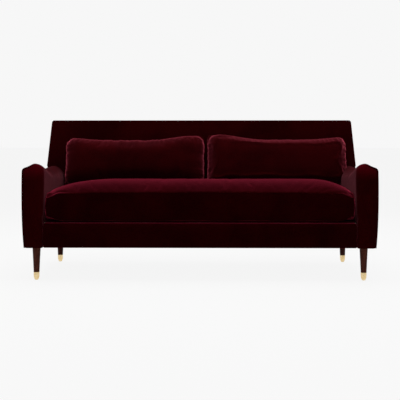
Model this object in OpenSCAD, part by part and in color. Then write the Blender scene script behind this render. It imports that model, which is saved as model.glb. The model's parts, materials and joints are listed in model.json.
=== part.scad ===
// Tuxedo sofa, three seats wide: one bench cushion, two lumbar cushions, slim padded arms
// and a reclined back, on four tapered legs with bullet ferrules.
// X runs to the right as one faces the sofa, Y to the rear and Z up.
// The origin is on the floor, below the centre of the sofa.

/* [Overall] */
// Width over the arms where they are widest
sofa_w = 1912; // [1500:4:2400]
// Depth from the arm fronts to the top rear edge of the back
sofa_d = 880; // [840:5:960]
// Height of the back above the floor
sofa_h = 881; // [840:1:940]
// Height of the underside above the floor
underside_h = 176; // [140:2:200]

/* [Back] */
// Thickness of the back at its top
back_top_t = 133; // [120:1:160]
// Lean of the inside face from upright, in degrees
front_lean = 15; // [12:0.5:17]
// Lean of the outside face from upright, in degrees
rear_lean = 8.3; // [6:0.1:10]
// How much each side draws in from the arms to the top
back_taper = 17; // [0:1:30]
// How far the back's sides lie inside the arms' widest point
back_side_in = 7; // [1:1:12]
// Radius of the back's edges
back_edge_r = 9; // [5:1:14]
// Depth of foam on the inside face
back_pad_t = 45; // [35:1:55]

/* [Arms] */
// Thickness of an arm
arm_w = 115; // [100:1:130]
// Height of an arm's dome at the front
arm_front_h = 627; // [600:1:650]
// Height of an arm's lowest stretch, behind the dome
arm_mid_h = 588; // [570:1:600]
// Height of an arm where it meets the back
arm_rear_h = 599; // [580:1:620]
// Rise of the front dome over the outer shoulder
dome_h = 16; // [8:1:22]
// Distance of the dome's crest from the inner face
dome_in = 46; // [40:1:56]
// Distance over which the dome falls to the outer shoulder
dome_fall = 41; // [30:1:60]
// Distance of the rear crest from the inner face
crest_rear_in = 70; // [56:1:80]
// Height over which the inner face rounds into the top, at the front
inner_round_front = 37; // [30:1:60]
// The same at the rear, where the lumbar cushions press it down
inner_round_rear = 86; // [50:1:100]
// Height over which the outer face rounds into the top
outer_round = 42; // [30:1:56]
// How far the outer face draws in from its widest point to the underside
arm_outer_draw = 12; // [0:1:16]
// Height at which the arms are widest
arm_widest_h = 498; // [420:1:520]
// Edge radius round the arm front, outside and top
arm_edge_r = 18; // [14:1:22]
// Edge radius of the arm front above the seat, on the inside
arm_inner_r = 28; // [16:1:34]

/* [Seat] */
// Height of the deck under the seat cushion
deck_h = 310; // [296:1:320]
// Height of the front border's top above the underside
border_h = 132; // [118:1:140]
// How far the border's face lies behind the arm fronts
border_back = 4; // [2:1:10]
// Radius of the border's top edge
border_edge_r = 13; // [8:1:16]
// Gap between the seat cushion and each arm
cushion_side_gap = 12; // [6:1:18]
// Overhang of the arm fronts past the seat cushion
cushion_front_in = 22; // [10:1:40]
// Height of the seat cushion's lower seam above the deck
cushion_low_seam = 13; // [8:1:20]
// Height of the seat cushion's side band between its seams
cushion_band = 145; // [110:1:160]
// Crown of the seat cushion above its upper seam
cushion_crown = 60; // [30:1:70]
// Radius of the seat cushion's corners
cushion_corner_r = 26; // [16:1:50]
// How much the middle of each side draws in
cushion_draw = 5; // [0:1:10]

/* [Lumbar cushions] */
// Height of a lumbar cushion along its lean
lumbar_h = 296; // [240:1:320]
// Depth of a lumbar cushion in front of its seam
lumbar_front_t = 82; // [60:1:90]
// Depth of a lumbar cushion behind its seam
lumbar_rear_t = 66; // [50:1:76]
// Gap between the left lumbar cushion and the left arm
lumbar_end_gap = 12; // [8:1:30]
// How far the right lumbar cushion lies over the right arm's rounded inner edge
lumbar_lap = 47; // [20:1:52]
// Gap between the lumbar cushions
lumbar_gap = 13; // [8:1:30]
// Radius of a lumbar cushion's corners
lumbar_corner_r = 16; // [10:1:30]
// How much the middle of each seam draws in
lumbar_draw = 10; // [0:1:16]

/* [Legs] */
// Distance of the leg centres from the sofa's widest point
leg_in_x = 74; // [70:1:84]
// Distance of the front leg centres behind the arm fronts
leg_front_in = 50; // [46:1:60]
// Distance of the rear leg centres from the outside of the back, at the underside
leg_rear_in = 47; // [40:1:70]
// Diameter of a leg at the top
leg_top_d = 44; // [38:1:48]
// Diameter of a leg at its ferrule
leg_low_d = 31; // [26:1:34]
// Height of a ferrule
ferrule_h = 42; // [34:1:50]
// Wall of a ferrule
ferrule_t = 1.5; // [1:0.5:2]
// Height of a nylon glide
glide_t = 3; // [2:0.5:4]
// Diameter of the nylon glide under a ferrule
glide_d = 14; // [12:1:18]

/* [Frame] */
// Thickness of the posts and side rails
post_t = 45; // [36:1:50]
// Thickness of the other boards
board_t = 28; // [22:1:32]
// Height of the seat rails
rail_h = 109; // [96:1:112]
// Thickness of the plywood arm fronts
arm_panel_t = 18; // [12:1:22]
// Height of an arm's top rail
arm_rail_h = 30; // [24:1:40]
// Depth of the padding over an arm's top rail
arm_top_pad = 34; // [26:1:40]
// Depth of the padding in front of an arm's plywood
arm_front_pad = 22; // [16:1:28]
// Height of the boards across the back
back_rail_h = 60; // [40:1:80]
// Height of the back's lowest cross board above the deck
back_rail_up = 20; // [10:1:40]
// Depth of the padding over the back's top board
back_top_pad = 12; // [8:1:20]
// Reach of a corner block along the rails
block_reach = 70; // [50:1:90]
// Number of webbing straps up the back
strap_count = 9; // [5:2:11]
// Width of a webbing strap
strap_w = 70; // [50:1:80]
// Thickness of a webbing strap
strap_t = 2; // [1.5:0.5:2.5]

/* [Springs] */
// Number of springs under each of the three seats
spring_count_each = 2; // [1:1:3]
// Number of cross bars in a spring, an odd number
spring_bars = 13; // [9:2:15]
// Diameter of the spring wire
wire_d = 3.8; // [3.2:0.2:4.2]
// Half the width of a spring
spring_reach = 31; // [28:1:36]
// Thickness of a spring clip's steel
clip_t = 1.4; // [1:0.2:1.6]
// Width of a spring clip
clip_w = 14; // [10:1:14]
// Depth of a spring clip along the rail's top
clip_l = 20; // [14:1:22]
// Diameter of the tie wires across the springs
tie_d = 2.4; // [2:0.2:2.8]

/* [Upholstery] */
// Thickness of velvet with its lining
cover_t = 3; // [2:0.5:4]
// Diameter of the piping
welt_d = 7; // [6:1:8]
// Thickness of the felt over the springs
felt_t = 4; // [3:0.5:5]
// Thickness of the cloth under the base
dust_t = 1.2; // [1:0.2:2]

/* [Zips and fixings] */
// Distance of the seat cushion's zip from each end of the cushion
seat_zip_in = 128; // [100:1:300]
// Distance of a lumbar cushion's zip from each end of the cushion
lumbar_zip_in = 186; // [150:1:280]
// Width of a zip
zip_w = 10; // [8:1:12]
// Thickness of a zip's tape
zip_t = 2; // [1.5:0.5:2.5]
// Width of a zip's closed teeth
teeth_w = 4; // [3:0.5:5]
// Length of a zip's slider
slider_l = 12; // [9:1:14]
// Thickness of a zip's slider
slider_t = 5; // [4:0.5:6]
// Thickness of a leg plate
plate_t = 3; // [2:0.5:4]
// Diameter of a leg bolt
bolt_d = 8; // [6:1:10]
// Length of a leg bolt on each side of its plate
bolt_reach = 26; // [20:1:32]

/* [Hidden] */
// Gap left between soft pieces that touch
soft_gap = 0.4;
// Clearance round a bolt or a pin
fit_gap = 0.2;
// Gap between the seat cushion and the back, and behind the spring rail
rear_gap = 5;
// Gap between a lumbar cushion and the arm beside it
lumbar_arm_gap = 5;
// Least radius of an edge or a corner as a skin draws it in
least_r = 2;
// How far an arm's piping stands out past the arm's faces
welt_out = 1;
// Overrun of a cut past the face that it cuts
over = 20;
// Steps per unit that a slanting face's place is cut to
tidy_steps = 100;
// Facets of a full turn on round timber and metal
round_n = 64;
// Facets of a quarter turn on a cushion's corner
corner_n = 4;
// Points between corners on a cushion's long and short sides
long_n = 8;
short_n = 3;
// Stations of an arm's length behind its edge radius
arm_n = 9;
// Points of each quarter over an arm's top
top_n = 7;
// Sides of a piping on an arm
welt_n = 8;

welt_r = welt_d / 2;
// How far the middle of an arm's piping lies inside the arm's faces, clear of their round edge
welt_in = arm_edge_r - (arm_edge_r + welt_r + soft_gap) / sqrt(2);
half_w = sofa_w / 2 - welt_out;
front_y = welt_out - sofa_d / 2;
rear_y = sofa_d / 2;
arm_in_x = half_w - arm_w;
rail_low_z = underside_h + plate_t;
rail_top_z = rail_low_z + rail_h;
leg_x = half_w - leg_in_x;
leg_front_y = front_y + leg_front_in;
leg_rear_y = tidy(outside_y(underside_h) - leg_rear_in);
post_in_x = leg_x - post_t / 2;
post_out_x = leg_x + post_t / 2;
frame_front_y = front_y + border_back + arm_front_pad;
arm_rail_top_z = arm_mid_h - arm_top_pad;
back_frame_t = (back_pad_t + cover_t) / cos(front_lean);
back_frame_top_z = sofa_h - back_top_pad;
back_rear_in = cover_t + soft_gap;
back_half_w = half_w - back_side_in;
back_top_half_w = back_half_w - back_taper;
spring_rail_y = tidy(inside_y(rail_low_z)) - board_t - rear_gap;
spring_z = rail_top_z + clip_t + wire_d / 2;
tie_z = spring_z + wire_d / 2 + soft_gap + tie_d / 2;
felt_z = tie_z + tie_d / 2 + soft_gap;
deck_rear_y = inside_y(felt_z) - soft_gap;
cushion_half_w = arm_in_x - cushion_side_gap;
cushion_front_y = front_y + cushion_front_in;
cushion_rear_y = inside_y(deck_h) - rear_gap;
cushion_half_d = (cushion_rear_y - cushion_front_y) / 2;
cushion_mid_y = (cushion_rear_y + cushion_front_y) / 2;
cushion_z = deck_h + soft_gap;
cushion_seam_z = deck_h + cushion_low_seam + cushion_band;
cushion_top_z = cushion_seam_z + cushion_crown;
cushion_zip_z = deck_h + cushion_low_seam + cushion_band / 2;
seat_zip_l = 2 * (cushion_half_w - seat_zip_in);
// The two lumbar cushions share the room from the left arm to their lap over the right one
lumbar_low_x = lumbar_end_gap - arm_in_x;
lumbar_w = (arm_in_x + lumbar_lap - lumbar_gap - lumbar_low_x) / 2;
lumbar_gap_x = lumbar_low_x + lumbar_w + lumbar_gap / 2;
lumbar_zip_l = lumbar_w - 2 * lumbar_zip_in;

// Y of the back's inside and outside faces at height z
function inside_y(z) = rear_y - back_top_t - (sofa_h - z) * tan(front_lean);
function outside_y(z) = rear_y - (sofa_h - back_edge_r - z) * tan(rear_lean);

// A place cut to whole steps, so that pieces set by it meet exactly
function tidy(v) = floor(tidy_steps * v) / tidy_steps;
function mix(a, b, t) = a + (b - a) * t;
function clamp01(t) = max(0, min(1, t));
function smooth(t) = clamp01(t) * clamp01(t) * (3 - 2 * clamp01(t));
function flat(lists) = [for (a = lists) for (b = a) b];

// A solid through rings of equally many points, which turn left as seen from the last ring
module loft(rings) {
  n = len(rings[0]);
  last = len(rings) - 1;
  sides = [
    for (j = [0:last - 1]) for (i = [0:n - 1])
      let (k = (i + 1) % n, a = j * n, b = a + n)
      each [[a + i, b + i, b + k], [a + i, b + k, a + k]]
  ];
  first_cap = [for (i = [0:n - 1]) i];
  last_cap = [for (i = [0:n - 1]) last * n + n - 1 - i];
  polyhedron(points = flat(rings), faces = concat([first_cap], sides, [last_cap]));
}

// A profile of Y and Z, drawn along X
module side_prism(points, x0, x1) {
  translate([x0, 0, 0]) rotate([90, 0, 90]) linear_extrude(x1 - x0) polygon(points);
}

// A profile of X and Z, drawn along Y
module front_prism(points, y0, y1) {
  translate([0, y1, 0]) rotate([90, 0, 0]) linear_extrude(y1 - y0) polygon(points);
}

module box(x0, x1, y0, y1, z0, z1) {
  translate([x0, y0, z0]) cube([x1 - x0, y1 - y0, z1 - z0]);
}

module pair() {
  children();
  mirror([1, 0, 0]) children();
}

// A copy at each leg
module at_legs() {
  for (x = [-leg_x, leg_x]) for (y = [leg_front_y, leg_rear_y]) translate([x, y, 0]) children();
}

// Arms. A station is a section in X and Z at one Y; skin draws it in all round.
arm_len = inside_y(arm_rear_h) - front_y;
function arm_t(y) = clamp01((y - front_y) / arm_len);
function edge_in(r, y, skin) =
  let (deep = y - front_y - skin, q = max(r - skin, least_r))
  skin + (deep >= q ? 0 : q - sqrt(max(0, q * q - (q - deep) * (q - deep))));
low_dip_share = 0.46;
function arm_top(y) = arm_t(y) < low_dip_share
  ? mix(arm_front_h, arm_mid_h, smooth(arm_t(y) / low_dip_share))
  : mix(arm_mid_h, arm_rear_h, smooth((arm_t(y) - low_dip_share) / (1 - low_dip_share)));
function arm_crest_x(y) = arm_in_x + mix(dome_in, crest_rear_in, smooth(arm_t(y)));
function arm_dome(y) = dome_h * (1 - smooth(arm_t(y) / low_dip_share));
function arm_inner_low(y) = arm_top(y) - mix(inner_round_front, inner_round_rear, smooth(arm_t(y)));
function arm_outer_low(y) = arm_top(y) - outer_round;
// How square the rounds over an arm's top are, at the front and at the rear
inner_square_shares = [2.4, 2.1];
outer_square_shares = [3.4, 2.4];
function arm_inner_n(y) = mix(inner_square_shares[0], inner_square_shares[1], arm_t(y));
function arm_outer_n(y) = mix(outer_square_shares[0], outer_square_shares[1], arm_t(y));
// How fast the outer face draws in towards the floor, and its draw towards the top
draw_power_share = 2.6;
draw_up_share = 0.25;
function arm_outer_x(z) = z < arm_widest_h
  ? half_w
    - arm_outer_draw * pow((arm_widest_h - z) / (arm_widest_h - underside_h), draw_power_share)
  : half_w - draw_up_share * arm_outer_draw * pow((z - arm_widest_h) / (arm_front_h - arm_widest_h), 2);
function arm_inner_edge(z) =
  mix(arm_edge_r / 2, arm_inner_r, smooth((z - deck_h) / (arm_mid_h - deck_h)));
function arm_inner_x(z, y, skin) = arm_in_x + edge_in(arm_inner_edge(z), y, skin);

inner_side_shares = [0, 0.3, 0.6, 0.85];
outer_side_shares = [1, 0.75, 0.5, 0.25, 0];
// Points of X and Z from the inner foot over the top to the outer foot
function arm_section(y, skin, low_z) = let (
  crest = arm_crest_x(y),
  top = arm_top(y) - edge_in(arm_edge_r, y, skin),
  dome = arm_dome(y),
  in_low = arm_inner_low(y),
  out_low = arm_outer_low(y),
  in_x = arm_inner_x(in_low, y, skin),
  draw = edge_in(arm_edge_r, y, skin),
  out_x = arm_outer_x(out_low) - draw,
  pi = 2 / arm_inner_n(y),
  po = 2 / arm_outer_n(y)
) concat(
  [for (s = inner_side_shares) let (z = mix(low_z, in_low, s)) [arm_inner_x(z, y, skin), z]],
  [for (i = [0:top_n]) let (a = 90 * i / (top_n + 1))
    [crest - (crest - in_x) * pow(cos(a), pi), in_low + (top - in_low) * pow(sin(a), pi)]],
  [[crest, top]],
  [for (i = [top_n:-1:1])
    let (
      a = 90 * i / (top_n + 1),
      x = crest + (out_x - crest) * pow(cos(a), po),
      bump = dome * (1 + cos(180 * min(1, (x - crest) / dome_fall))) / 2
    )
    [x, out_low + (top - dome - out_low) * pow(sin(a), po) + bump]],
  [for (s = outer_side_shares) let (z = mix(low_z, out_low, s)) [arm_outer_x(z) - draw, z]]
);
// Upright rings round the front edge, then rings that lean step by step to the back's slope
arm_edge_shares = [0, 0.06, 0.25, 0.6];
function arm_rings(skin, low_z) = let (
  start = front_y + skin,
  rest = front_y + arm_inner_r
) concat(
  [for (s = arm_edge_shares) let (y = mix(start, rest, s))
    [for (p = arm_section(y, skin, low_z)) [p[0], y, p[1]]]],
  [for (i = [0:arm_n]) let (k = i / arm_n, y = mix(rest, inside_y(arm_rear_h), k))
    [for (p = arm_section(y, skin, low_z)) [p[0], mix(rest, inside_y(p[1]) - soft_gap, k), p[1]]]]
);
// A skin between two sets of rings, closed at the first ring and open below and at the last
module skin(outer, inner) {
  n = len(outer[0]);
  o = n * len(outer);
  last = o - n;
  walls = [
    for (a = [0:n:last - n]) for (i = [0:n - 2]) let (b = a + n, k = i + 1)
      each [
        [a + i, b + i, b + k], [a + i, b + k, a + k],
        [o + a + i, o + b + k, o + b + i], [o + a + i, o + a + k, o + b + k]
      ]
  ];
  feet = [
    for (a = [0:n:last - n]) let (b = a + n, e = n - 1)
      each [[o + a, o + b, b, a], [a + e, b + e, o + b + e, o + a + e]]
  ];
  ends = [
    [for (i = [0:n - 1]) i],
    [for (i = [n - 1:-1:0]) o + i],
    [n - 1, o + n - 1, o, 0]
  ];
  rim = [for (i = [last:last + n - 2]) [i + 1, i, o + i, o + i + 1]];
  polyhedron(points = concat(flat(outer), flat(inner)), faces = concat(walls, feet, ends, rim));
}
// The spaces that an arm's foam leaves for its own frame, and with its cover for the base frame
module arm_frame_space() {
  box(post_in_x, post_out_x, frame_front_y, rear_y, -over, arm_rail_top_z);
}
module arm_base_space() {
  box(0, post_out_x, frame_front_y, rear_y, -over, rail_top_z);
}

// Back. The section in Y and Z, and the front view that draws its sides in.
module back_form(skin, low_z) {
  intersection() {
    side_prism([
      [inside_y(low_z) + skin, low_z],
      [inside_y(sofa_h - back_edge_r) + skin, sofa_h - back_edge_r],
      [inside_y(sofa_h) + skin + back_edge_r / 3, sofa_h - skin - back_edge_r / 4],
      [inside_y(sofa_h) + skin + back_edge_r, sofa_h - skin],
      [outside_y(sofa_h) - skin - back_edge_r, sofa_h - skin],
      [outside_y(sofa_h) - skin - back_edge_r / 4, sofa_h - skin - back_edge_r / 3],
      [outside_y(sofa_h - skin - back_edge_r) - skin, sofa_h - skin - back_edge_r],
      [outside_y(low_z) - skin, low_z]
    ], -half_w, half_w);
    front_prism([
      [-back_half_w + skin, low_z],
      [back_half_w - skin, low_z],
      [back_half_w - skin, arm_rear_h],
      [back_top_half_w - skin, sofa_h],
      [-back_top_half_w + skin, sofa_h],
      [-back_half_w + skin, arm_rear_h]
    ], front_y, rear_y + over);
  }
}
// A board that lies along the inside face, between two heights and two depths behind it
module back_board(z0, z1, d0, d1, x0, x1) {
  side_prism([
    [inside_y(z0) + d0, z0],
    [inside_y(z0) + d1, z0],
    [inside_y(z1) + d1, z1],
    [inside_y(z1) + d0, z1]
  ], x0, x1);
}
// The space of the base and of the back's frame, which foam and covers leave free
module base_space() {
  box(-post_out_x, post_out_x, front_y - over, outside_y(rail_low_z) - cover_t, -over, rail_top_z);
  box(-arm_in_x, arm_in_x, front_y - over, inside_y(deck_h), -over, deck_h);
}
module back_frame_space() {
  deep = back_frame_t - strap_t - soft_gap;
  side_prism([
    [inside_y(-over) + deep, -over],
    [inside_y(back_frame_top_z) + deep, back_frame_top_z],
    [rear_y + over, back_frame_top_z],
    [rear_y + over, -over]
  ], -post_out_x, post_out_x);
}
module arm_rail_space(gap) {
  pair() box(post_in_x - gap, post_out_x + gap, front_y, rear_y,
    arm_rail_top_z - arm_rail_h - gap, arm_rail_top_z + gap);
}

module front_seat_rail() {
  color("burlywood")
    box(-post_in_x, post_in_x, frame_front_y, frame_front_y + board_t, rail_low_z, rail_top_z);
}
module spring_rail() {
  color("burlywood")
    box(-post_in_x, post_in_x, spring_rail_y, spring_rail_y + board_t, rail_low_z, rail_top_z);
}
rear_rail_y = tidy(outside_y(rail_low_z) - cover_t) - board_t;
module rear_base_rail() {
  color("burlywood")
    box(-post_in_x, post_in_x, rear_rail_y, rear_rail_y + board_t, rail_low_z, rail_top_z);
}
module side_rail() {
  difference() {
    box(post_in_x, post_out_x, frame_front_y + arm_panel_t, rear_rail_y + board_t,
      rail_low_z, rail_top_z);
    for (y = [leg_front_y, leg_rear_y])
      translate([leg_x, y, rail_low_z - over])
        cylinder(d = bolt_d + 2 * fit_gap, h = over + bolt_reach + fit_gap, $fn = round_n);
  }
}
module side_rail_left() {
  color("burlywood") mirror([1, 0, 0]) side_rail();
}
module side_rail_right() {
  color("burlywood") side_rail();
}
module seat_stretchers() {
  color("burlywood")
    for (x = [-post_in_x / 3, post_in_x / 3])
      box(x - board_t / 2, x + board_t / 2, frame_front_y + board_t, spring_rail_y,
        rail_low_z, rail_low_z + rail_h / 2);
}
block_h_share = 2 / 3;
block_nose_share = 1 / 3;
module corner_block(y, dir) {
  nose = block_nose_share * board_t;
  translate([post_in_x, y, rail_low_z]) linear_extrude(block_h_share * rail_h)
    polygon([[0, 0], [-block_reach, 0], [-block_reach, dir * nose],
      [-nose, dir * block_reach], [0, dir * block_reach]]);
}
module corner_blocks() {
  color("burlywood") pair() {
    corner_block(frame_front_y + board_t, 1);
    corner_block(rear_rail_y, -1);
  }
}
module arm_panel() {
  box(post_in_x, post_out_x, frame_front_y, frame_front_y + arm_panel_t, rail_low_z, arm_rail_top_z);
}
module arm_panel_left() {
  color("tan") mirror([1, 0, 0]) arm_panel();
}
module arm_panel_right() {
  color("tan") arm_panel();
}
module arm_top_rail() {
  y0 = frame_front_y + arm_panel_t;
  z0 = arm_rail_top_z - arm_rail_h;
  side_prism([
    [y0, z0],
    [inside_y(z0) + back_frame_t - fit_gap, z0],
    [inside_y(arm_rail_top_z) + back_frame_t - fit_gap, arm_rail_top_z],
    [y0, arm_rail_top_z]
  ], post_in_x, post_out_x);
}
module arm_top_rail_left() {
  color("burlywood") mirror([1, 0, 0]) arm_top_rail();
}
module arm_top_rail_right() {
  color("burlywood") arm_top_rail();
}
module back_post() {
  side_prism([
    [inside_y(rail_top_z) + back_frame_t, rail_top_z],
    [inside_y(back_frame_top_z) + back_frame_t, back_frame_top_z],
    [outside_y(back_frame_top_z) - back_rear_in, back_frame_top_z],
    [outside_y(rail_top_z) - back_rear_in, rail_top_z]
  ], post_in_x, post_out_x);
}
module back_post_left() {
  color("burlywood") mirror([1, 0, 0]) back_post();
}
module back_post_right() {
  color("burlywood") back_post();
}
module back_top_board() {
  z0 = back_frame_top_z - board_t;
  color("burlywood") side_prism([
    [inside_y(z0) + back_frame_t, z0],
    [inside_y(back_frame_top_z) + back_frame_t, back_frame_top_z],
    [outside_y(back_frame_top_z) - back_rear_in, back_frame_top_z],
    [outside_y(z0) - back_rear_in, z0]
  ], -post_in_x, post_in_x);
}
upper_rail_z = back_frame_top_z - board_t - back_rail_h;
lower_rail_z = deck_h + back_rail_up;
module back_upper_rail() {
  color("burlywood") back_board(upper_rail_z, upper_rail_z + back_rail_h,
    back_frame_t, back_frame_t + board_t, -post_in_x, post_in_x);
}
module back_lower_rail() {
  color("burlywood") back_board(lower_rail_z, lower_rail_z + back_rail_h,
    back_frame_t, back_frame_t + board_t, -post_in_x, post_in_x);
}
module back_upright() {
  color("burlywood") back_board(lower_rail_z + back_rail_h, upper_rail_z,
    back_frame_t + strap_t, back_frame_t + board_t, -post_t / 2, post_t / 2);
}
module back_webbing() {
  pitch = 2 * post_in_x / strap_count;
  color("dimgray") for (i = [0:strap_count - 1]) let (x = (i + 0.5) * pitch - post_in_x)
    back_board(lower_rail_z + board_t / 2, upper_rail_z + back_rail_h - board_t / 2,
      back_frame_t - strap_t - fit_gap, back_frame_t - fit_gap, x - strap_w / 2, x + strap_w / 2);
}

// Springs. Each runs from the front rail to the spring rail in straight bars and half turns.
spring_y0 = frame_front_y + board_t / 2;
spring_y1 = spring_rail_y + board_t / 2;
spring_pitch = tidy((spring_y1 - spring_y0) / (spring_bars - 1));
spring_bar = spring_reach - spring_pitch / 2;
spring_count = 3 * spring_count_each;
function spring_x(i) = post_in_x * (2 * i + 1 - spring_count) / spring_count;
module spring() {
  union() {
    for (i = [0:spring_bars - 1])
      translate([0, i * spring_pitch, 0]) rotate([0, 90, 0])
        cylinder(d = wire_d, h = 2 * spring_bar, center = true, $fn = round_n / 2);
    for (i = [0:spring_bars - 2]) let (side = i % 2 == 0 ? 1 : -1)
      translate([side * spring_bar, (i + 0.5) * spring_pitch, 0]) rotate([0, 0, -90 * side])
        rotate_extrude(angle = 180, $fn = round_n)
          translate([spring_pitch / 2, 0]) circle(d = wire_d, $fn = round_n / 2);
  }
}
module springs_of(seat) {
  color("slategray") for (i = [seat * spring_count_each:(seat + 1) * spring_count_each - 1])
    translate([spring_x(i), spring_y0, spring_z]) spring();
}
module springs_left() {
  springs_of(0);
}
module springs_middle() {
  springs_of(1);
}
module springs_right() {
  springs_of(2);
}
module spring_clip() {
  difference() {
    translate([-clip_w / 2, -clip_l / 2, -wire_d / 2 - clip_t])
      cube([clip_w, clip_l, wire_d + 2 * clip_t - fit_gap]);
    translate([-clip_w, -clip_l, wire_d / 2 + fit_gap])
      cube([2 * clip_w, clip_l - wire_d, over]);
    translate([-clip_w, wire_d, wire_d / 2 + fit_gap])
      cube([2 * clip_w, clip_l, over]);
    rotate([0, 90, 0])
      cylinder(d = wire_d + 2 * fit_gap, h = 2 * clip_w, center = true, $fn = round_n / 2);
  }
}
module spring_clips() {
  color("silver") for (i = [0:spring_count - 1]) for (y = [spring_y0, spring_y1])
    translate([spring_x(i), y, spring_z]) spring_clip();
}
module spring_ties() {
  color("dimgray") for (s = [1, 2])
    translate([0, mix(spring_y0, spring_y1, s / 3), tie_z]) rotate([0, 90, 0])
      cylinder(d = tie_d, h = 2 * (arm_in_x - soft_gap), center = true, $fn = round_n / 2);
}

// Deck. Felt on the springs, foam on the felt and a cover over both, between border and back.
deck_front_y = frame_front_y + board_t + soft_gap;
module deck_layer(z0, z1) {
  box(-arm_in_x + soft_gap, arm_in_x - soft_gap, deck_front_y, deck_rear_y, z0, z1);
}
module deck_felt() {
  color("gray") deck_layer(felt_z, felt_z + felt_t);
}
module deck_foam() {
  color("ivory") deck_layer(felt_z + felt_t, deck_h - cover_t);
}
module deck_cover() {
  color("maroon") deck_layer(deck_h - cover_t, deck_h);
}

// Front border: a rounded strip of foam over the front rail, with its cover.
border_face_y = front_y + border_back;
border_top_z = underside_h + border_h;
module border_section(skin, low_z) {
  polygon([
    [border_face_y + skin, low_z],
    [deck_front_y - soft_gap, low_z],
    [deck_front_y - soft_gap, border_top_z - skin],
    [border_face_y + border_edge_r, border_top_z - skin],
    [border_face_y + skin, border_top_z - border_edge_r]
  ]);
  translate([border_face_y + border_edge_r, border_top_z - border_edge_r])
    circle(r = border_edge_r - skin, $fn = round_n);
}
module border_form(skin, low_z) {
  reach = arm_in_x - soft_gap;
  difference() {
    translate([-reach, 0, 0]) rotate([90, 0, 90])
      linear_extrude(2 * reach) border_section(skin, low_z);
    box(-half_w, half_w, frame_front_y, rear_y, -over, felt_z);
  }
}
module border_foam() {
  color("ivory") border_form(cover_t + soft_gap, rail_low_z);
}
module border_cover() {
  color("maroon") difference() {
    border_form(0, underside_h);
    translate([-half_w, 0, 0]) rotate([90, 0, 90])
      linear_extrude(sofa_w) border_section(cover_t, -over);
  }
}

module arm_foam() {
  difference() {
    loft(arm_rings(cover_t + soft_gap, rail_low_z));
    arm_frame_space();
    arm_base_space();
  }
}
module arm_foam_left() {
  color("ivory") mirror([1, 0, 0]) arm_foam();
}
module arm_foam_right() {
  color("ivory") arm_foam();
}
module arm_cover() {
  difference() {
    skin(arm_rings(0, underside_h), arm_rings(cover_t, underside_h));
    arm_base_space();
  }
}
module arm_cover_left() {
  color("maroon") mirror([1, 0, 0]) arm_cover();
}
module arm_cover_right() {
  color("maroon") arm_cover();
}
// Piping round the outer edge of an arm front, from the underside over the shoulder to the dome
arm_welt_y = front_y + welt_in;
arm_welt_path = let (
  ring = arm_section(front_y + arm_inner_r, 0, underside_h),
  crest_i = len(inner_side_shares) + top_n + 1
) [for (i = [len(ring) - 1:-1:crest_i]) ring[i]];
module arm_welt() {
  last = len(arm_welt_path) - 1;
  loft([for (i = [0:last])
    let (
      d = arm_welt_path[min(i + 1, last)] - arm_welt_path[max(i - 1, 0)],
      out = [d[1], -d[0]] / norm(d),
      c = arm_welt_path[i] - welt_in * out
    )
    [for (k = [0:welt_n - 1]) let (a = 360 * k / welt_n)
      [c[0] + welt_r * cos(a) * out[0], arm_welt_y - welt_r * sin(a), c[1] + welt_r * cos(a) * out[1]]]
  ]);
}
module rod(p, q, r) {
  d = q - p;
  translate(p) rotate([0, acos(d[2] / norm(d)), atan2(d[1], d[0])])
    cylinder(r = r, h = norm(d), $fn = round_n / 2);
}
module arm_welt_left() {
  color("maroon") mirror([1, 0, 0]) arm_welt();
}
module arm_welt_right() {
  color("maroon") arm_welt();
}

module back_foam() {
  color("ivory") difference() {
    back_form(cover_t + soft_gap, rail_low_z);
    back_frame_space();
    base_space();
    arm_rail_space(fit_gap);
    back_welt_form(soft_gap);
  }
}
module inside_back_cover() {
  color("maroon") difference() {
    back_form(0, underside_h);
    back_form(cover_t, -over);
    base_space();
    arm_rail_space(fit_gap);
    outside_panel_space();
    back_welt_form(soft_gap);
  }
}
panel_top_z = sofa_h - 2 * back_edge_r;
panel_half_w = back_top_half_w - back_edge_r;
module outside_panel_space() {
  side_prism([
    [outside_y(-over) - cover_t - fit_gap, -over],
    [outside_y(panel_top_z + fit_gap) - cover_t - fit_gap, panel_top_z + fit_gap],
    [rear_y + over, panel_top_z + fit_gap],
    [rear_y + over, -over]
  ], -panel_half_w - fit_gap, panel_half_w + fit_gap);
}
module outside_back_cover() {
  color("maroon") side_prism([
    [outside_y(underside_h) - cover_t, underside_h],
    [outside_y(panel_top_z) - cover_t, panel_top_z],
    [outside_y(panel_top_z), panel_top_z],
    [outside_y(underside_h), underside_h]
  ], -panel_half_w, panel_half_w);
}
// Piping up both sides and along the top of the inside face
module back_welt_form(gap) {
  r = welt_r + gap;
  high_z = sofa_h - welt_r;
  low = [back_half_w - welt_r, inside_y(arm_rear_h) + welt_r, arm_rear_h];
  high = [back_top_half_w - welt_r, inside_y(high_z) + welt_r, high_z];
  pair() {
    rod(low, high, r);
    translate(high) sphere(r = r + fit_gap, $fn = round_n / 2);
  }
  rod([-high[0], high[1], high[2]], high, r);
}
module back_welt() {
  color("firebrick") back_welt_form(0);
}

module dust_cover() {
  z0 = rail_low_z - dust_t;
  color("black") difference() {
    box(-post_out_x, post_out_x, frame_front_y, outside_y(z0) - cover_t, z0, rail_low_z);
    at_legs() box(-post_t, post_t, -post_t / 2 - fit_gap, post_t / 2 + fit_gap, 0, sofa_h);
  }
}

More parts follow.
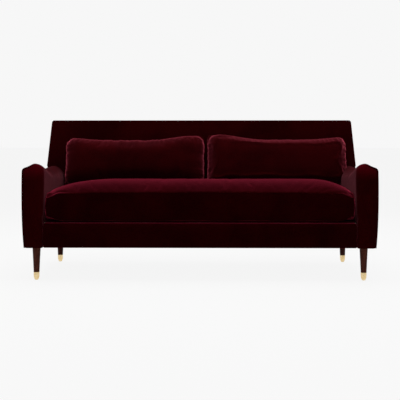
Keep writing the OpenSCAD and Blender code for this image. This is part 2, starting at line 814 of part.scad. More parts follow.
// Cushions. A ring is a rounded rectangle with its sides drawn in.
function ring_2d(a, b, r) = [
  for (c = [0:3])
    let (
      sx = [1, -1, -1, 1][c],
      sy = [1, 1, -1, -1][c],
      n = c % 2 == 0 ? long_n : short_n,
      from = [sx * (a - r), sy * (b - r)] + r * [cos(90 * c + 90), sin(90 * c + 90)],
      nx = [-1, -1, 1, 1][c],
      ny = [1, -1, -1, 1][c],
      to = [nx * (a - r), ny * (b - r)] + r * [cos(90 * c + 90), sin(90 * c + 90)]
    )
    for (i = [0:corner_n + n])
      i <= corner_n
        ? [sx * (a - r), sy * (b - r)] + r * [cos(90 * (c + i / corner_n)), sin(90 * (c + i / corner_n))]
        : mix(from, to, (i - corner_n) / (n + 1))
];
function drawn(p, a, b, pull, rear) = [
  p[0] * (1 - pull / a * (1 - pow(p[1] / b, 2))),
  p[1] * (1 - (p[1] > 0 ? rear : pull) / b * (1 - pow(p[0] / a, 2)))
];

crown_shares = [0.03, 0.1, 0.22, 0.4, 0.66, 0.96];
// How fast the rings' corners round off towards the crown, and how fast the crown levels out
crown_round_share = 0.8;
crown_power_share = 2.4;
function crown_rise(s) = 1 - pow(1 - s, crown_power_share);
function seat_ring(inset, z) =
  let (
    a = cushion_half_w - inset,
    b = cushion_half_d - inset,
    r = min(cushion_corner_r + crown_round_share * max(0, inset), b - least_r)
  )
  [for (p = ring_2d(a, b, r))
    let (q = drawn(p, a, b, cushion_draw, 0)) [q[0], q[1] + cushion_mid_y, z]];
function seat_levels(skin) = concat(
  [
    [cushion_low_seam + skin, cushion_z + skin],
    [cushion_low_seam / 3 + skin, cushion_z + skin + cushion_low_seam / 3],
    [skin, deck_h + cushion_low_seam + skin],
    [skin - cushion_draw / 2, cushion_zip_z - zip_w],
    [skin - cushion_draw / 2, cushion_zip_z + zip_w],
    [skin, cushion_seam_z - skin]
  ],
  [for (s = crown_shares)
    [skin + (cushion_half_d - skin) * s, cushion_seam_z - skin + cushion_crown * crown_rise(s)]]
);
module seat_form(skin) {
  loft([for (l = seat_levels(skin)) seat_ring(l[0], l[1])]);
}
seat_zip_y = cushion_rear_y + cushion_draw / 2;
module seat_cushion_cover() {
  color("maroon") difference() {
    seat_form(0);
    seat_form(cover_t);
    box(-seat_zip_l / 2, seat_zip_l / 2, seat_zip_y - 2 * cover_t, seat_zip_y + over,
      cushion_zip_z - zip_w / 2, cushion_zip_z + zip_w / 2);
  }
}
module seat_cushion_core() {
  color("ivory") seat_form(cover_t + soft_gap);
}
// A zip along X, its teeth facing up, centred on the origin
module zip(l) {
  translate([-l / 2 + fit_gap, -zip_w / 2 + fit_gap, -zip_t])
    cube([l - 2 * fit_gap, zip_w - 2 * fit_gap, zip_t]);
  translate([-l / 2 + fit_gap, -teeth_w / 2, 0])
    cube([l - 2 * fit_gap, teeth_w, zip_t / 2]);
}
// The slider stands over the teeth at the closed end of the zip
module zip_slider(l) {
  translate([slider_l / 2 - l / 2 + slider_l, 0, 0]) difference() {
    translate([-slider_l / 2, -zip_w / 2 + zip_t / 2, soft_gap])
      cube([slider_l, zip_w - zip_t, slider_t]);
    translate([-slider_l, -teeth_w / 2 - soft_gap, 0])
      cube([2 * slider_l, teeth_w + 2 * soft_gap, zip_t / 2 + soft_gap]);
  }
}
module at_seat_zip() {
  translate([0, seat_zip_y - fit_gap, cushion_zip_z]) rotate([-90, 0, 0]) children();
}
module seat_zip() {
  color("dimgray") at_seat_zip() zip(seat_zip_l);
}
module seat_zip_slider() {
  color("silver") at_seat_zip() zip_slider(seat_zip_l);
}

// Lumbar cushions. Rings lie across the cushion's depth; depth 0 is its seam.
lumbar_reach_shares = [0, 0.035, 0.12, 0.27, 0.5, 0.78];
swell_power_shares = [2.2, 0.75];
function lumbar_swell(s) = pow(1 - pow(1 - s, swell_power_shares[0]), swell_power_shares[1]);
function lumbar_x(side) = lumbar_gap_x + side * (lumbar_gap + lumbar_w) / 2;
function lumbar_ring(inset, deep) =
  let (
    a = lumbar_w / 2 - inset,
    b = lumbar_h / 2 - inset,
    r = min(lumbar_corner_r + crown_round_share * inset, b - least_r)
  )
  [for (p = ring_2d(a, b, r))
    let (q = drawn(p, a, b, lumbar_draw, lumbar_draw)) [q[0], q[1], deep]];
function lumbar_rings(skin) = let (
  reach = lumbar_h / 2 - 2 * skin,
  edge = 2 * skin,
  last = len(lumbar_reach_shares) - 1
) concat(
  [for (i = [last:-1:1]) let (s = lumbar_reach_shares[i])
    lumbar_ring(edge + reach * s, -(lumbar_rear_t - skin) * lumbar_swell(s))],
  [lumbar_ring(edge, 0)],
  [for (i = [1:last]) let (s = lumbar_reach_shares[i])
    lumbar_ring(edge + reach * s, (lumbar_front_t - skin) * lumbar_swell(s))]
);
// A point of a lumbar cushion in the sofa's frame, before it is set down at y and z
function leaned(p, x) = [
  x + p[0],
  p[1] * sin(front_lean) - p[2] * cos(front_lean),
  p[1] * cos(front_lean) + p[2] * sin(front_lean)
];
// Height of the seat cushion's crown at x and y
function crown_z(x, y) =
  let (s = clamp01(min(cushion_half_w - abs(x), cushion_half_d - abs(y - cushion_mid_y)) / cushion_half_d))
  cushion_seam_z + cushion_crown * crown_rise(s);
lumbar_points = [for (p = flat(lumbar_rings(0))) leaned(p, lumbar_x(-1))];
function settle_y(z) = min([for (p = lumbar_points) inside_y(z + p[2]) - soft_gap - p[1]]);
function settle_z(y) = max([for (p = lumbar_points) crown_z(p[0], y + p[1]) + soft_gap - p[2]]);
lumbar_y1 = settle_y(settle_z(inside_y(cushion_top_z)));
lumbar_z1 = settle_z(lumbar_y1);
lumbar_y = settle_y(lumbar_z1);
lumbar_z = settle_z(lumbar_y);
// The arm's inner face as the right cushion meets it
function arm_room_x(z, y) = let (
  low = arm_inner_low(y),
  top = arm_top(y),
  crest = arm_crest_x(y),
  n = arm_inner_n(y)
) z < low ? arm_in_x
  : z > top ? half_w
  : crest - (crest - arm_in_x) * pow(1 - pow((z - low) / (top - low), n), 1 / n);
function beside_arm(p, skin) =
  [min(p[0], arm_room_x(p[2] - 2 * lumbar_arm_gap, p[1]) - lumbar_arm_gap - skin), p[1], p[2]];
module lumbar_form(side, skin) {
  loft([for (ring = lumbar_rings(skin)) [for (p = ring)
    beside_arm(leaned(p, lumbar_x(side)) + [0, lumbar_y, lumbar_z], skin)]]);
}
// The zip lies low on the rear face, along the face's own slope
zip_up_share = 0.16;
zip_step_share = 0.02;
function rear_face(s) = [
  lumbar_draw - lumbar_h / 2 * (1 - s),
  -lumbar_rear_t * lumbar_swell(s)
];
// The same between two rings, where the face is flat
function zip_spot(s) = let (
  shares = lumbar_reach_shares,
  i = [for (k = [1:len(shares) - 1]) if (shares[k - 1] <= s && s < shares[k]) k][0],
  t = (s - shares[i - 1]) / (shares[i] - shares[i - 1])
) mix(rear_face(shares[i - 1]), rear_face(shares[i]), t);
module at_lumbar_zip(side) {
  p = zip_spot(zip_up_share);
  d = zip_spot(zip_up_share + zip_step_share) - p;
  slope = atan2(d[1], d[0]);
  translate([lumbar_x(side), lumbar_y, lumbar_z]) rotate([90 - front_lean, 0, 0])
    translate([0, p[0], p[1]]) rotate([slope + 180, 0, 0]) children();
}
module lumbar_cover(side) {
  difference() {
    lumbar_form(side, 0);
    lumbar_form(side, cover_t);
    at_lumbar_zip(side)
      box(-lumbar_zip_l / 2, lumbar_zip_l / 2, -zip_w / 2, zip_w / 2, -over, over);
  }
}
module lumbar_cover_left() {
  color("maroon") lumbar_cover(-1);
}
module lumbar_cover_right() {
  color("maroon") lumbar_cover(1);
}
module lumbar_insert_left() {
  color("ivory") lumbar_form(-1, cover_t + soft_gap);
}
module lumbar_insert_right() {
  color("ivory") lumbar_form(1, cover_t + soft_gap);
}
module lumbar_zip_left() {
  color("dimgray") at_lumbar_zip(-1) zip(lumbar_zip_l);
}
module lumbar_zip_right() {
  color("dimgray") at_lumbar_zip(1) zip(lumbar_zip_l);
}
module lumbar_zip_slider_left() {
  color("silver") at_lumbar_zip(-1) zip_slider(lumbar_zip_l);
}
module lumbar_zip_slider_right() {
  color("silver") at_lumbar_zip(1) zip_slider(lumbar_zip_l);
}

// Legs. Turned wood with a spigot that seats in the ferrule, and a bore for its bolt.
spigot_d = leg_low_d - 2 * ferrule_t - 2 * fit_gap;
spigot_z = ferrule_h / 3;
// Where a leg's swell lies between the ferrule and the top, and how far it has widened there
leg_swell_share = 0.5;
leg_widen_share = 0.45;
module leg() {
  difference() {
    rotate_extrude($fn = round_n) polygon([
      [0, spigot_z],
      [spigot_d / 2, spigot_z],
      [spigot_d / 2, ferrule_h],
      [leg_low_d / 2, ferrule_h],
      [mix(leg_low_d, leg_top_d, leg_widen_share) / 2, mix(ferrule_h, underside_h, leg_swell_share)],
      [leg_top_d / 2, underside_h],
      [0, underside_h]
    ]);
    translate([0, 0, underside_h - bolt_reach - fit_gap])
      cylinder(d = bolt_d + 2 * fit_gap, h = bolt_reach + over, $fn = round_n);
  }
}
module leg_front_left() {
  color("saddlebrown") translate([-leg_x, leg_front_y, 0]) leg();
}
module leg_front_right() {
  color("saddlebrown") translate([leg_x, leg_front_y, 0]) leg();
}
module leg_rear_left() {
  color("saddlebrown") translate([-leg_x, leg_rear_y, 0]) leg();
}
module leg_rear_right() {
  color("saddlebrown") translate([leg_x, leg_rear_y, 0]) leg();
}
bullet_shares = [0, 0.12, 0.3, 0.55, 0.8, 1];
bullet_round_share = 0.8;
bullet_h_share = 0.6;
bullet_h = bullet_h_share * ferrule_h;
function bullet_r(s) =
  mix(glide_d / 2 + ferrule_t, leg_low_d / 2, pow(sin(90 * s), bullet_round_share));
module ferrule() {
  difference() {
    rotate_extrude($fn = round_n) polygon(concat(
      [[0, ferrule_t / 3]],
      [for (s = bullet_shares) [bullet_r(s), ferrule_t / 3 + (bullet_h - ferrule_t / 3) * s]],
      [[leg_low_d / 2, ferrule_h - fit_gap], [0, ferrule_h - fit_gap]]
    ));
    translate([0, 0, spigot_z - fit_gap])
      cylinder(d = spigot_d + 2 * fit_gap, h = ferrule_h, $fn = round_n);
    translate([0, 0, -over])
      cylinder(d = glide_d + 2 * fit_gap, h = over + glide_t, $fn = round_n);
  }
}
module ferrules() {
  color("goldenrod") at_legs() ferrule();
}
module glides() {
  color("black") at_legs() cylinder(d = glide_d, h = glide_t, $fn = round_n);
}
module leg_plates() {
  color("gray") at_legs() difference() {
    translate([-post_t / 2, -post_t / 2, underside_h]) cube([post_t, post_t, plate_t]);
    translate([0, 0, underside_h - over])
      cylinder(d = bolt_d + 2 * fit_gap, h = 2 * over, $fn = round_n);
  }
}
module leg_bolts() {
  color("silver") at_legs() translate([0, 0, underside_h - bolt_reach])
    cylinder(d = bolt_d, h = 2 * bolt_reach + plate_t, $fn = round_n);
}
front_seat_rail();
spring_rail();
side_rail_left();
side_rail_right();
rear_base_rail();
seat_stretchers();
corner_blocks();
arm_panel_left();
arm_panel_right();
arm_top_rail_left();
arm_top_rail_right();
back_post_left();
back_post_right();
back_top_board();
back_upper_rail();
back_lower_rail();
back_upright();
back_webbing();
springs_left();
springs_middle();
springs_right();
spring_clips();
spring_ties();
deck_felt();
deck_foam();
deck_cover();
arm_foam_left();
arm_foam_right();
back_foam();
border_foam();
arm_cover_left();
arm_cover_right();
inside_back_cover();
outside_back_cover();
border_cover();
back_welt();
arm_welt_left();
arm_welt_right();
dust_cover();
seat_cushion_cover();
seat_cushion_core();
seat_zip();
seat_zip_slider();
lumbar_cover_left();
lumbar_cover_right();
lumbar_insert_left();
lumbar_insert_right();
lumbar_zip_left();
lumbar_zip_right();
lumbar_zip_slider_left();
lumbar_zip_slider_right();
leg_front_left();
leg_front_right();
leg_rear_left();
leg_rear_right();
ferrules();
glides();
leg_plates();
leg_bolts();
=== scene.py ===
"""Looks of the velvet sofa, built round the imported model. Metres, in the model's own frame."""

import json
import math
from collections import namedtuple

import bmesh
import bpy
import numpy as np
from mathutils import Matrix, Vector


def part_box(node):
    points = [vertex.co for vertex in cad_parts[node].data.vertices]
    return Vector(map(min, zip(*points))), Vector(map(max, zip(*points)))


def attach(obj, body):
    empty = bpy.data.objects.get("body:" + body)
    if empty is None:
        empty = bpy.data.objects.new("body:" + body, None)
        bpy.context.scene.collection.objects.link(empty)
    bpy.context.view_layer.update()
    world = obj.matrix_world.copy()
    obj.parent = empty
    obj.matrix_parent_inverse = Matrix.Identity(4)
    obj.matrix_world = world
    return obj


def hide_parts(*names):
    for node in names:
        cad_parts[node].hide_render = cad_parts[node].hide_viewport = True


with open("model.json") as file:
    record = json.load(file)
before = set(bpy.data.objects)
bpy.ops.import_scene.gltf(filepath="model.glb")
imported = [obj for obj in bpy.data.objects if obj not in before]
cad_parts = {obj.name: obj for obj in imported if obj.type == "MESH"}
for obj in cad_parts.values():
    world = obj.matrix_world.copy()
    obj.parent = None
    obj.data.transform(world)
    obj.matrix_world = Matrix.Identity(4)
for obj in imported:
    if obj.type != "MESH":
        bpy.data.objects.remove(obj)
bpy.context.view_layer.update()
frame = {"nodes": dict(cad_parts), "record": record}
nodes = frame["nodes"]

# Sizes. They follow the part's source, apart from a few millimetres at the arms, the back and the
# seat cushion's ends, where the cloth's outline was fitted to the photograph.
SOFA_H, UNDER, DECK = 0.881, 0.176, 0.310
HALF_W, FRONT, REAR = 0.951, -0.439, 0.440
BACK_TOP_T, BACK_EDGE_R = 0.133, 0.009
LEAN, REAR_LEAN = math.radians(15), math.radians(8.3)
BACK_HALF_W, BACK_TOP_HALF_W = 0.9525, 0.9355
BACK_LIP = SOFA_H - 2 * BACK_EDGE_R
ARM_IN_X = 0.840
ARM_FRONT_H, ARM_MID_H, ARM_REAR_H = 0.627, 0.588, 0.599
# The pair of depths in Y here is where the arms' painted highlight fades in towards the front edge
DIP_AT, PAINTED_HIGHLIGHT_Y = 0.46, (-0.36, -0.43)
DOME_H, DOME_IN, CREST_REAR_IN = 0.016, 0.046, 0.070
ROUND_FRONT, ROUND_REAR, OUTER_ROUND = 0.037, 0.086, 0.048
OUTER_DRAW, WIDEST_H = 0.012, 0.498
ARM_EDGE_R, ARM_INNER_R = 0.018, 0.045
BORDER_Y, BORDER_TOP, BORDER_R = -0.435, 0.308, 0.013
BORDER_T, BORDER_LIP_Y, BORDER_LIP_Z = 0.022, -0.3852, (0.298, 0.296)
CUSHION_A, CUSHION_FRONT, CUSHION_REAR = 0.834, -0.417, 0.1490
CUSHION_CORNER_R, CUSHION_DRAW, CROWN = 0.028, 0.005, 0.060
SEAM_LOW, SEAM_HIGH = 0.323, 0.468
LUMBAR_W, LUMBAR_H, LUMBAR_FRONT, LUMBAR_REAR = 0.851, 0.296, 0.082, 0.066
LUMBAR_CORNER_R, LUMBAR_DRAW, LUMBAR_END_DRAW = 0.034, 0.007, 0.002
WELT_R, WELT_IN, BACK_WELT_R = 0.0035, 0.0025, 0.0045
LUMBAR_SEAM_R, SEAT_SEAM_R = 0.0013, 0.0010
SOFT_GAP = 0.0004
SIDES = {"left": -1, "right": 1}

# Each lumbar cushion's middle in X, the lift of its whole upper seam, and the seeds of its seam and gathers
Lumbar = namedtuple("Lumbar", "x lift seed gathers")
LUMBARS = {"left": Lumbar(-0.4025, 0.004, 5, 70), "right": Lumbar(0.4615, 0.009, 6, 80)}

# Directions in a lumbar cushion's own frame, which leans with the back
ACROSS, UP, AHEAD = (np.array(v) for v in (
    (1.0, 0.0, 0.0), (0.0, math.sin(LEAN), math.cos(LEAN)), (0.0, -math.cos(LEAN), math.sin(LEAN))))


def inside_y(z):
    """Where the back's inside face lies at height z."""
    return REAR - BACK_TOP_T - (SOFA_H - z) * math.tan(LEAN)


def outside_y(z):
    """Where the back's rear face lies at height z."""
    return REAR - (SOFA_H - BACK_EDGE_R - z) * math.tan(REAR_LEAN)


def mix(a, b, t):
    return a + (b - a) * t


def smooth(t):
    t = np.clip(t, 0, 1)
    return t * t * (3 - 2 * t)


def noise(points, scale, seed):
    """Smooth noise from -1 to 1 at points, made of a few seeded waves."""
    r = np.random.default_rng(seed)
    total = np.zeros(len(points))
    for _ in range(7):
        k = r.normal(size=3)
        k *= r.uniform(0.6, 1.5) * 2 * math.pi / (scale * np.linalg.norm(k))
        total += np.sin(points @ k + r.uniform(0, 6.3))
    return np.tanh(total / 2.6)


def new_mesh(name, points, faces, finish):
    mesh = bpy.data.meshes.new(name)
    mesh.from_pydata([tuple(float(c) for c in p) for p in points], [], faces)
    shape = bmesh.new()
    shape.from_mesh(mesh)
    bmesh.ops.recalc_face_normals(shape, faces=shape.faces)
    shape.to_mesh(mesh)
    shape.free()
    mesh.shade_smooth()
    mesh.materials.append(finish)
    obj = bpy.data.objects.new(name, mesh)
    bpy.context.scene.collection.objects.link(obj)
    return obj


def per_vertex(mesh, field):
    out = np.zeros(len(mesh.vertices) * 3)
    mesh.vertices.foreach_get(field, out)
    return out.reshape(-1, 3)


def coords(obj):
    return per_vertex(obj.data, "co")


def normals(obj):
    return per_vertex(obj.data, "normal")


def set_coords(obj, co):
    obj.data.vertices.foreach_set("co", np.ascontiguousarray(co, np.float32).ravel())
    obj.data.update()


def refine(obj):
    """Gives obj a mesh with each face split in four and smoothed."""
    obj.modifiers.new("Smooth", "SUBSURF").levels = 1
    graph = bpy.context.evaluated_depsgraph_get()
    mesh = bpy.data.meshes.new_from_object(obj.evaluated_get(graph))
    obj.modifiers.clear()
    obj.data = mesh


def tube(name, path, radius, finish, sides, closed=False):
    """A round cord along a path of points, closed at its ends by small domes."""
    path = np.asarray(path, float)
    n = len(path)
    steps = np.roll(path, -1, 0) - np.roll(path, 1, 0)
    if not closed:
        steps[0], steps[-1] = path[1] - path[0], path[-1] - path[-2]
    tangents = steps / np.linalg.norm(steps, axis=1)[:, None]
    # Any direction that the cord doesn't start in serves for the first side
    side = np.cross(tangents[0], [0.31, 0.17, 0.93])
    side /= np.linalg.norm(side)
    points, faces = [], []
    for i in range(n):
        side = side - tangents[i] * (side @ tangents[i])
        side /= np.linalg.norm(side)
        up = np.cross(tangents[i], side)
        for k in range(sides):
            a = 2 * math.pi * k / sides
            points.append(path[i] + radius * (math.cos(a) * side + math.sin(a) * up))
    for i in range(n if closed else n - 1):
        j = (i + 1) % n
        for k in range(sides):
            m = (k + 1) % sides
            faces.append((i * sides + k, i * sides + m, j * sides + m, j * sides + k))
    if not closed:
        for row, sign in ((0, -1), (n - 1, 1)):
            points.append(path[row] + sign * tangents[row] * radius * 0.6)
            tip = len(points) - 1
            for k in range(sides):
                m = (k + 1) % sides
                pair = (row * sides + k, row * sides + m)
                faces.append((tip, *pair) if sign > 0 else (tip, *pair[::-1]))
    return new_mesh(name, points, faces, finish)


def spread(line, count=None, step=None):
    """The same line as count points, or as points about a step apart."""
    line = np.asarray(line, float)
    at = np.concatenate([[0], np.cumsum(np.linalg.norm(np.diff(line, axis=0), axis=1))])
    if count is None:
        count = max(2, int(round(at[-1] / step)) + 1)
    want = np.linspace(0, at[-1], count)
    return np.stack([np.interp(want, at, column) for column in line.T], 1)


# Materials


def material(name, base, roughness, **sockets):
    """A new material, its node tree and its shader. Sockets are named with _ for a space."""
    m = bpy.data.materials.new(name)
    m.use_nodes = True
    shader = m.node_tree.nodes["Principled BSDF"]
    shader.inputs["Base Color"].default_value = (*base, 1)
    shader.inputs["Roughness"].default_value = roughness
    for key, value in sockets.items():
        shader.inputs[key.replace("_", " ")].default_value = value
    return m, m.node_tree, shader


def feed(tree, value, socket):
    """Links value to socket when it is a socket too, or else sets it there."""
    if isinstance(value, bpy.types.NodeSocket):
        tree.links.new(value, socket)
    else:
        socket.default_value = value


def node(tree, kind, *values, **settings):
    """A new node, with values for its first inputs in their order.

    Each setting feeds the input of its name, with _ for a space, or else sets that property.
    """
    n = tree.nodes.new(kind)
    for key, value in settings.items():
        label = key.replace("_", " ")
        if label in n.inputs:
            feed(tree, value, n.inputs[label])
        else:
            setattr(n, key, value)
    for value, socket in zip(values, n.inputs):
        feed(tree, value, socket)
    return n


def own_place(tree, stretch=None):
    """The object's own coordinates, stretched where asked."""
    place = node(tree, "ShaderNodeTexCoord").outputs["Object"]
    if stretch is None:
        return place
    return node(tree, "ShaderNodeMapping", Vector=place, Scale=stretch).outputs["Vector"]


def clouds(tree, place, scale, detail, rough=0.5, distortion=0.0):
    """Noise at place, from 0 to 1."""
    n = node(tree, "ShaderNodeTexNoise", Vector=place, Scale=scale, Detail=detail, Roughness=rough,
             Distortion=distortion)
    return n.outputs["Fac"]


def map_range(tree, value, **settings):
    return node(tree, "ShaderNodeMapRange", Value=value, **settings).outputs["Result"]


def blend(tree, share, first, second):
    """The colour at a share of the way from the first colour to the second."""
    n = node(tree, "ShaderNodeMix", share, data_type="RGBA")
    feed(tree, first, n.inputs[6])
    feed(tree, second, n.inputs[7])
    return n.outputs[2]


def colour_ramp(tree, shader, value, dark, light, low, high):
    """Colours the shader from dark, where value is at low, to light at high."""
    ramp = node(tree, "ShaderNodeValToRGB", Fac=value)
    for element, colour, at in zip(ramp.color_ramp.elements, (dark, light), (low, high)):
        element.color, element.position = (*colour, 1), at
    tree.links.new(ramp.outputs["Color"], shader.inputs["Base Color"])


def roughen(tree, shader, value, low, high):
    """Varies the shader's roughness with value, from low to high."""
    tree.links.new(map_range(tree, value, To_Min=low, To_Max=high), shader.inputs["Roughness"])


def bump(tree, shader, height, strength, distance, under=None):
    n = node(tree, "ShaderNodeBump", Height=height, Strength=strength, Distance=distance)
    if under is not None:
        tree.links.new(under, n.inputs["Normal"])
    tree.links.new(n.outputs["Normal"], shader.inputs["Normal"])
    return n.outputs["Normal"]


def velvet(name, tone, sheen, painted_highlight_z=None, tint=(1.0, 0.14, 0.22), sheen_rough=0.3):
    """Cut-pile velvet: patches of lighter and darker tone, fine pile and a sheen at its edges.

    Between two given heights, near the front edge only, the colour turns a lighter crimson. This is a
    painted highlight where light from above falls on the arms' upper front.
    """
    base = (0.008 * tone, 0.0002 * tone, 0.0003 * tone)
    light = (0.015 * tone, 0.0004 * tone, 0.0006 * tone)
    painted_highlight_crimson = (0.062, 0.0005, 0.0034)
    m, tree, shader = material(name, base, 0.9, Specular_IOR_Level=0.0, Sheen_Weight=sheen,
                               Sheen_Roughness=sheen_rough, Sheen_Tint=(*tint, 1))
    place = own_place(tree)
    patches = clouds(tree, place, 5.0, 3.0, 0.55, 0.6)
    pile = clouds(tree, place, 1400.0, 2.0, 0.6)
    strokes = clouds(tree, place, 38.0, 4.0, 0.6, 1.2)
    wide = map_range(tree, patches, From_Min=0.34, From_Max=0.68)
    share = node(tree, "ShaderNodeMath", strokes, 0.5, wide, operation="MULTIPLY_ADD").outputs[0]
    colour = blend(tree, share, (*base, 1), (*light, 1))
    # Painted highlight: a lighter crimson over a band of heights near the front edge, where light from
    # above falls
    if painted_highlight_z:
        parts = node(tree, "ShaderNodeSeparateXYZ", place)
        height = map_range(tree, parts.outputs["Z"], From_Min=painted_highlight_z[0], From_Max=painted_highlight_z[1],
                           interpolation_type="SMOOTHSTEP")
        depth = map_range(tree, parts.outputs["Y"], From_Min=PAINTED_HIGHLIGHT_Y[0], From_Max=PAINTED_HIGHLIGHT_Y[1],
                          interpolation_type="SMOOTHSTEP")
        both = node(tree, "ShaderNodeMath", height, depth, operation="MULTIPLY").outputs[0]
        colour = blend(tree, both, colour, (*painted_highlight_crimson, 1))
    tree.links.new(colour, shader.inputs["Base Color"])
    first = bump(tree, shader, strokes, 0.25, 0.0015)
    bump(tree, shader, pile, 0.5, 0.0006, first)
    return m


# The velvet comes in lighter and darker copies, one per piece. Their tones are painted light and shade, set
# for how the light falls on each, and the sheen differs too, as if the pile lay another way on each
VELVET = velvet("velvet", tone=1.15, sheen=0.9)
SEAT_VELVET = velvet("velvet_seat", tone=0.85, sheen=0.8, tint=(1.0, 0.07, 0.16))
# The arms carry a painted highlight, a lighter crimson on their upper front where light from above falls
ARM_VELVET = velvet("velvet_arms", tone=1.3, sheen=0.18, painted_highlight_z=(0.53, 0.635), tint=(1.0, 0.26, 0.34))
LUMBAR_VELVET = velvet("velvet_lumbar", tone=1.5, sheen=0.8, sheen_rough=0.36)
DECK_VELVET = velvet("velvet_deck", tone=1.0, sheen=0.08)
PIPING = velvet("velvet_piping", tone=1.35, sheen=0.28)
BACK_PIPING = velvet("velvet_piping_back", tone=1.6, sheen=0.8)


def walnut():
    m, tree, shader = material("walnut", (0.07, 0.022, 0.01), 0.4, Specular_IOR_Level=0.06,
                               Coat_Weight=0.03, Coat_Roughness=0.2)
    place = own_place(tree, (14, 14, 0.9))
    grain = clouds(tree, place, 9.0, 8.0, 0.62, 1.6)
    pores = clouds(tree, place, 60.0, 3.0)
    colour_ramp(tree, shader, grain, (0.030, 0.0062, 0.003), (0.105, 0.025, 0.013), 0.33, 0.7)
    roughen(tree, shader, pores, 0.34, 0.5)
    bump(tree, shader, pores, 0.12, 0.0004)
    return m


def brass():
    m, tree, shader = material("brass", (0.8, 0.62, 0.34), 0.26, Metallic=1.0)
    lines = clouds(tree, own_place(tree, (1, 1, 40)), 60.0, 3.0, 0.6)
    stains = clouds(tree, own_place(tree), 45.0, 4.0, 0.55)
    colour_ramp(tree, shader, stains, (0.74, 0.54, 0.26), (0.92, 0.74, 0.44), 0.35, 0.65)
    roughen(tree, shader, lines, 0.2, 0.38)
    bump(tree, shader, lines, 0.06, 0.0003)
    return m


def speckled(name, dark, light, roughness, scale, metallic=0.0, depth=0.0003, stretch=(1, 1, 1)):
    """A plain finish whose colour and surface vary a little."""
    m, tree, shader = material(name, light, roughness, Metallic=metallic)
    spots = clouds(tree, own_place(tree, stretch), scale, 5.0, 0.6)
    colour_ramp(tree, shader, spots, dark, light, 0.3, 0.7)
    bump(tree, shader, spots, 0.4, depth)
    return m


def zip_teeth(name, base):
    """Woven tape with nylon coil teeth along X, two millimetres apart."""
    m, tree, shader = material(name, base, 0.45)
    place = own_place(tree)
    teeth = node(tree, "ShaderNodeTexWave", Vector=place, Scale=157.0, Distortion=0.0, wave_type="BANDS",
                 bands_direction="X")
    first = bump(tree, shader, clouds(tree, place, 900.0, 2.0), 0.3, 0.0003)
    bump(tree, shader, teeth.outputs["Fac"], 0.6, 0.0006, first)
    return m


FINISHES = {
    "beech": speckled("beech", (0.42, 0.26, 0.14), (0.6, 0.42, 0.25), 0.62, 30, stretch=(0.4, 6, 6)),
    "plywood": speckled("plywood", (0.46, 0.32, 0.18), (0.66, 0.5, 0.32), 0.66, 22, stretch=(6, 6, 0.5)),
    "webbing": speckled("webbing", (0.02, 0.02, 0.02), (0.07, 0.07, 0.065), 0.85, 700),
    "spring_steel": speckled("spring_steel", (0.3, 0.3, 0.31), (0.5, 0.5, 0.5), 0.35, 90, 1.0, 0.0001),
    "felt": speckled("felt", (0.16, 0.15, 0.14), (0.34, 0.32, 0.29), 0.95, 240, depth=0.001),
    "foam": speckled("foam", (0.7, 0.64, 0.46), (0.86, 0.8, 0.6), 0.9, 500, depth=0.0006),
    "deck_cloth": DECK_VELVET,
    "velvet": VELVET,
    "velvet_piping": PIPING,
    "lining": speckled("lining", (0.012, 0.012, 0.012), (0.03, 0.03, 0.03), 0.9, 600, depth=0.0004),
    "zip_tape": zip_teeth("zip_tape", (0.03, 0.003, 0.006)),
    "zip_metal": speckled("zip_metal", (0.4, 0.4, 0.4), (0.62, 0.62, 0.6), 0.3, 200, 1.0, 0.0001),
    "walnut": walnut(),
    "brass": brass(),
    "nylon": speckled("nylon", (0.012, 0.012, 0.012), (0.025, 0.025, 0.025), 0.55, 300),
}
ROUND_PARTS = ("walnut", "brass", "nylon", "spring_steel", "zip_metal")
for part in frame["record"]["subparts"]:
    obj = nodes[part["node"]]
    obj.data.materials.clear()
    obj.data.materials.append(FINISHES[part["material_slot"]])
    if part["material_slot"] in ROUND_PARTS:
        obj.data.shade_smooth()
        obj.data.set_sharp_from_angle(angle=math.radians(30))


# Cushions and padding. Each starts as a closed form and is puffed by one shared cloth simulation
# with its seams held, in which no vertex moves further than its cap.

SIM_FRAMES = 20
Puff = namedtuple("Puff", "obj held pressure grow cap stiff bend start")
puffs = []


def puff(obj, held, pressure, grow, cap, stiff=18.0, bend=0.6):
    """Marks obj for the simulation. held is how firmly each vertex stays, from 0 to 1."""
    puffs.append(Puff(obj, np.asarray(held, float), pressure, grow, cap, stiff, bend, coords(obj)))


def simulate():
    scene = bpy.context.scene
    for p in puffs:
        group = p.obj.vertex_groups.new(name="held")
        for level in np.unique(np.round(p.held, 1)):
            if level > 0:
                ids = np.nonzero(np.round(p.held, 1) == level)[0].tolist()
                group.add(ids, float(level), "REPLACE")
        cloth = p.obj.modifiers.new("Cloth", "CLOTH")
        s = cloth.settings
        s.quality = 4
        s.mass = 0.25
        s.air_damping = 4
        s.tension_stiffness = s.compression_stiffness = p.stiff
        s.shear_stiffness = p.stiff * 0.3
        s.bending_stiffness = p.bend
        s.tension_damping = s.compression_damping = s.shear_damping = 8
        s.use_pressure = True
        s.uniform_pressure_force = p.pressure
        s.shrink_min = -p.grow
        s.vertex_group_mass = "held"
        s.effector_weights.gravity = 0
        cloth.collision_settings.use_collision = False
        cloth.collision_settings.use_self_collision = False
    for f in range(1, SIM_FRAMES + 1):
        scene.frame_set(f)
    graph = bpy.context.evaluated_depsgraph_get()
    for p in puffs:
        moved = per_vertex(p.obj.evaluated_get(graph).to_mesh(), "co") - p.start
        length = np.linalg.norm(moved, axis=1)
        keep = p.cap * np.tanh(length / p.cap) / np.maximum(length, 1e-9)
        p.obj.modifiers.clear()
        p.obj.vertex_groups.clear()
        set_coords(p.obj, p.start + moved * keep[:, None])
    scene.frame_set(1)


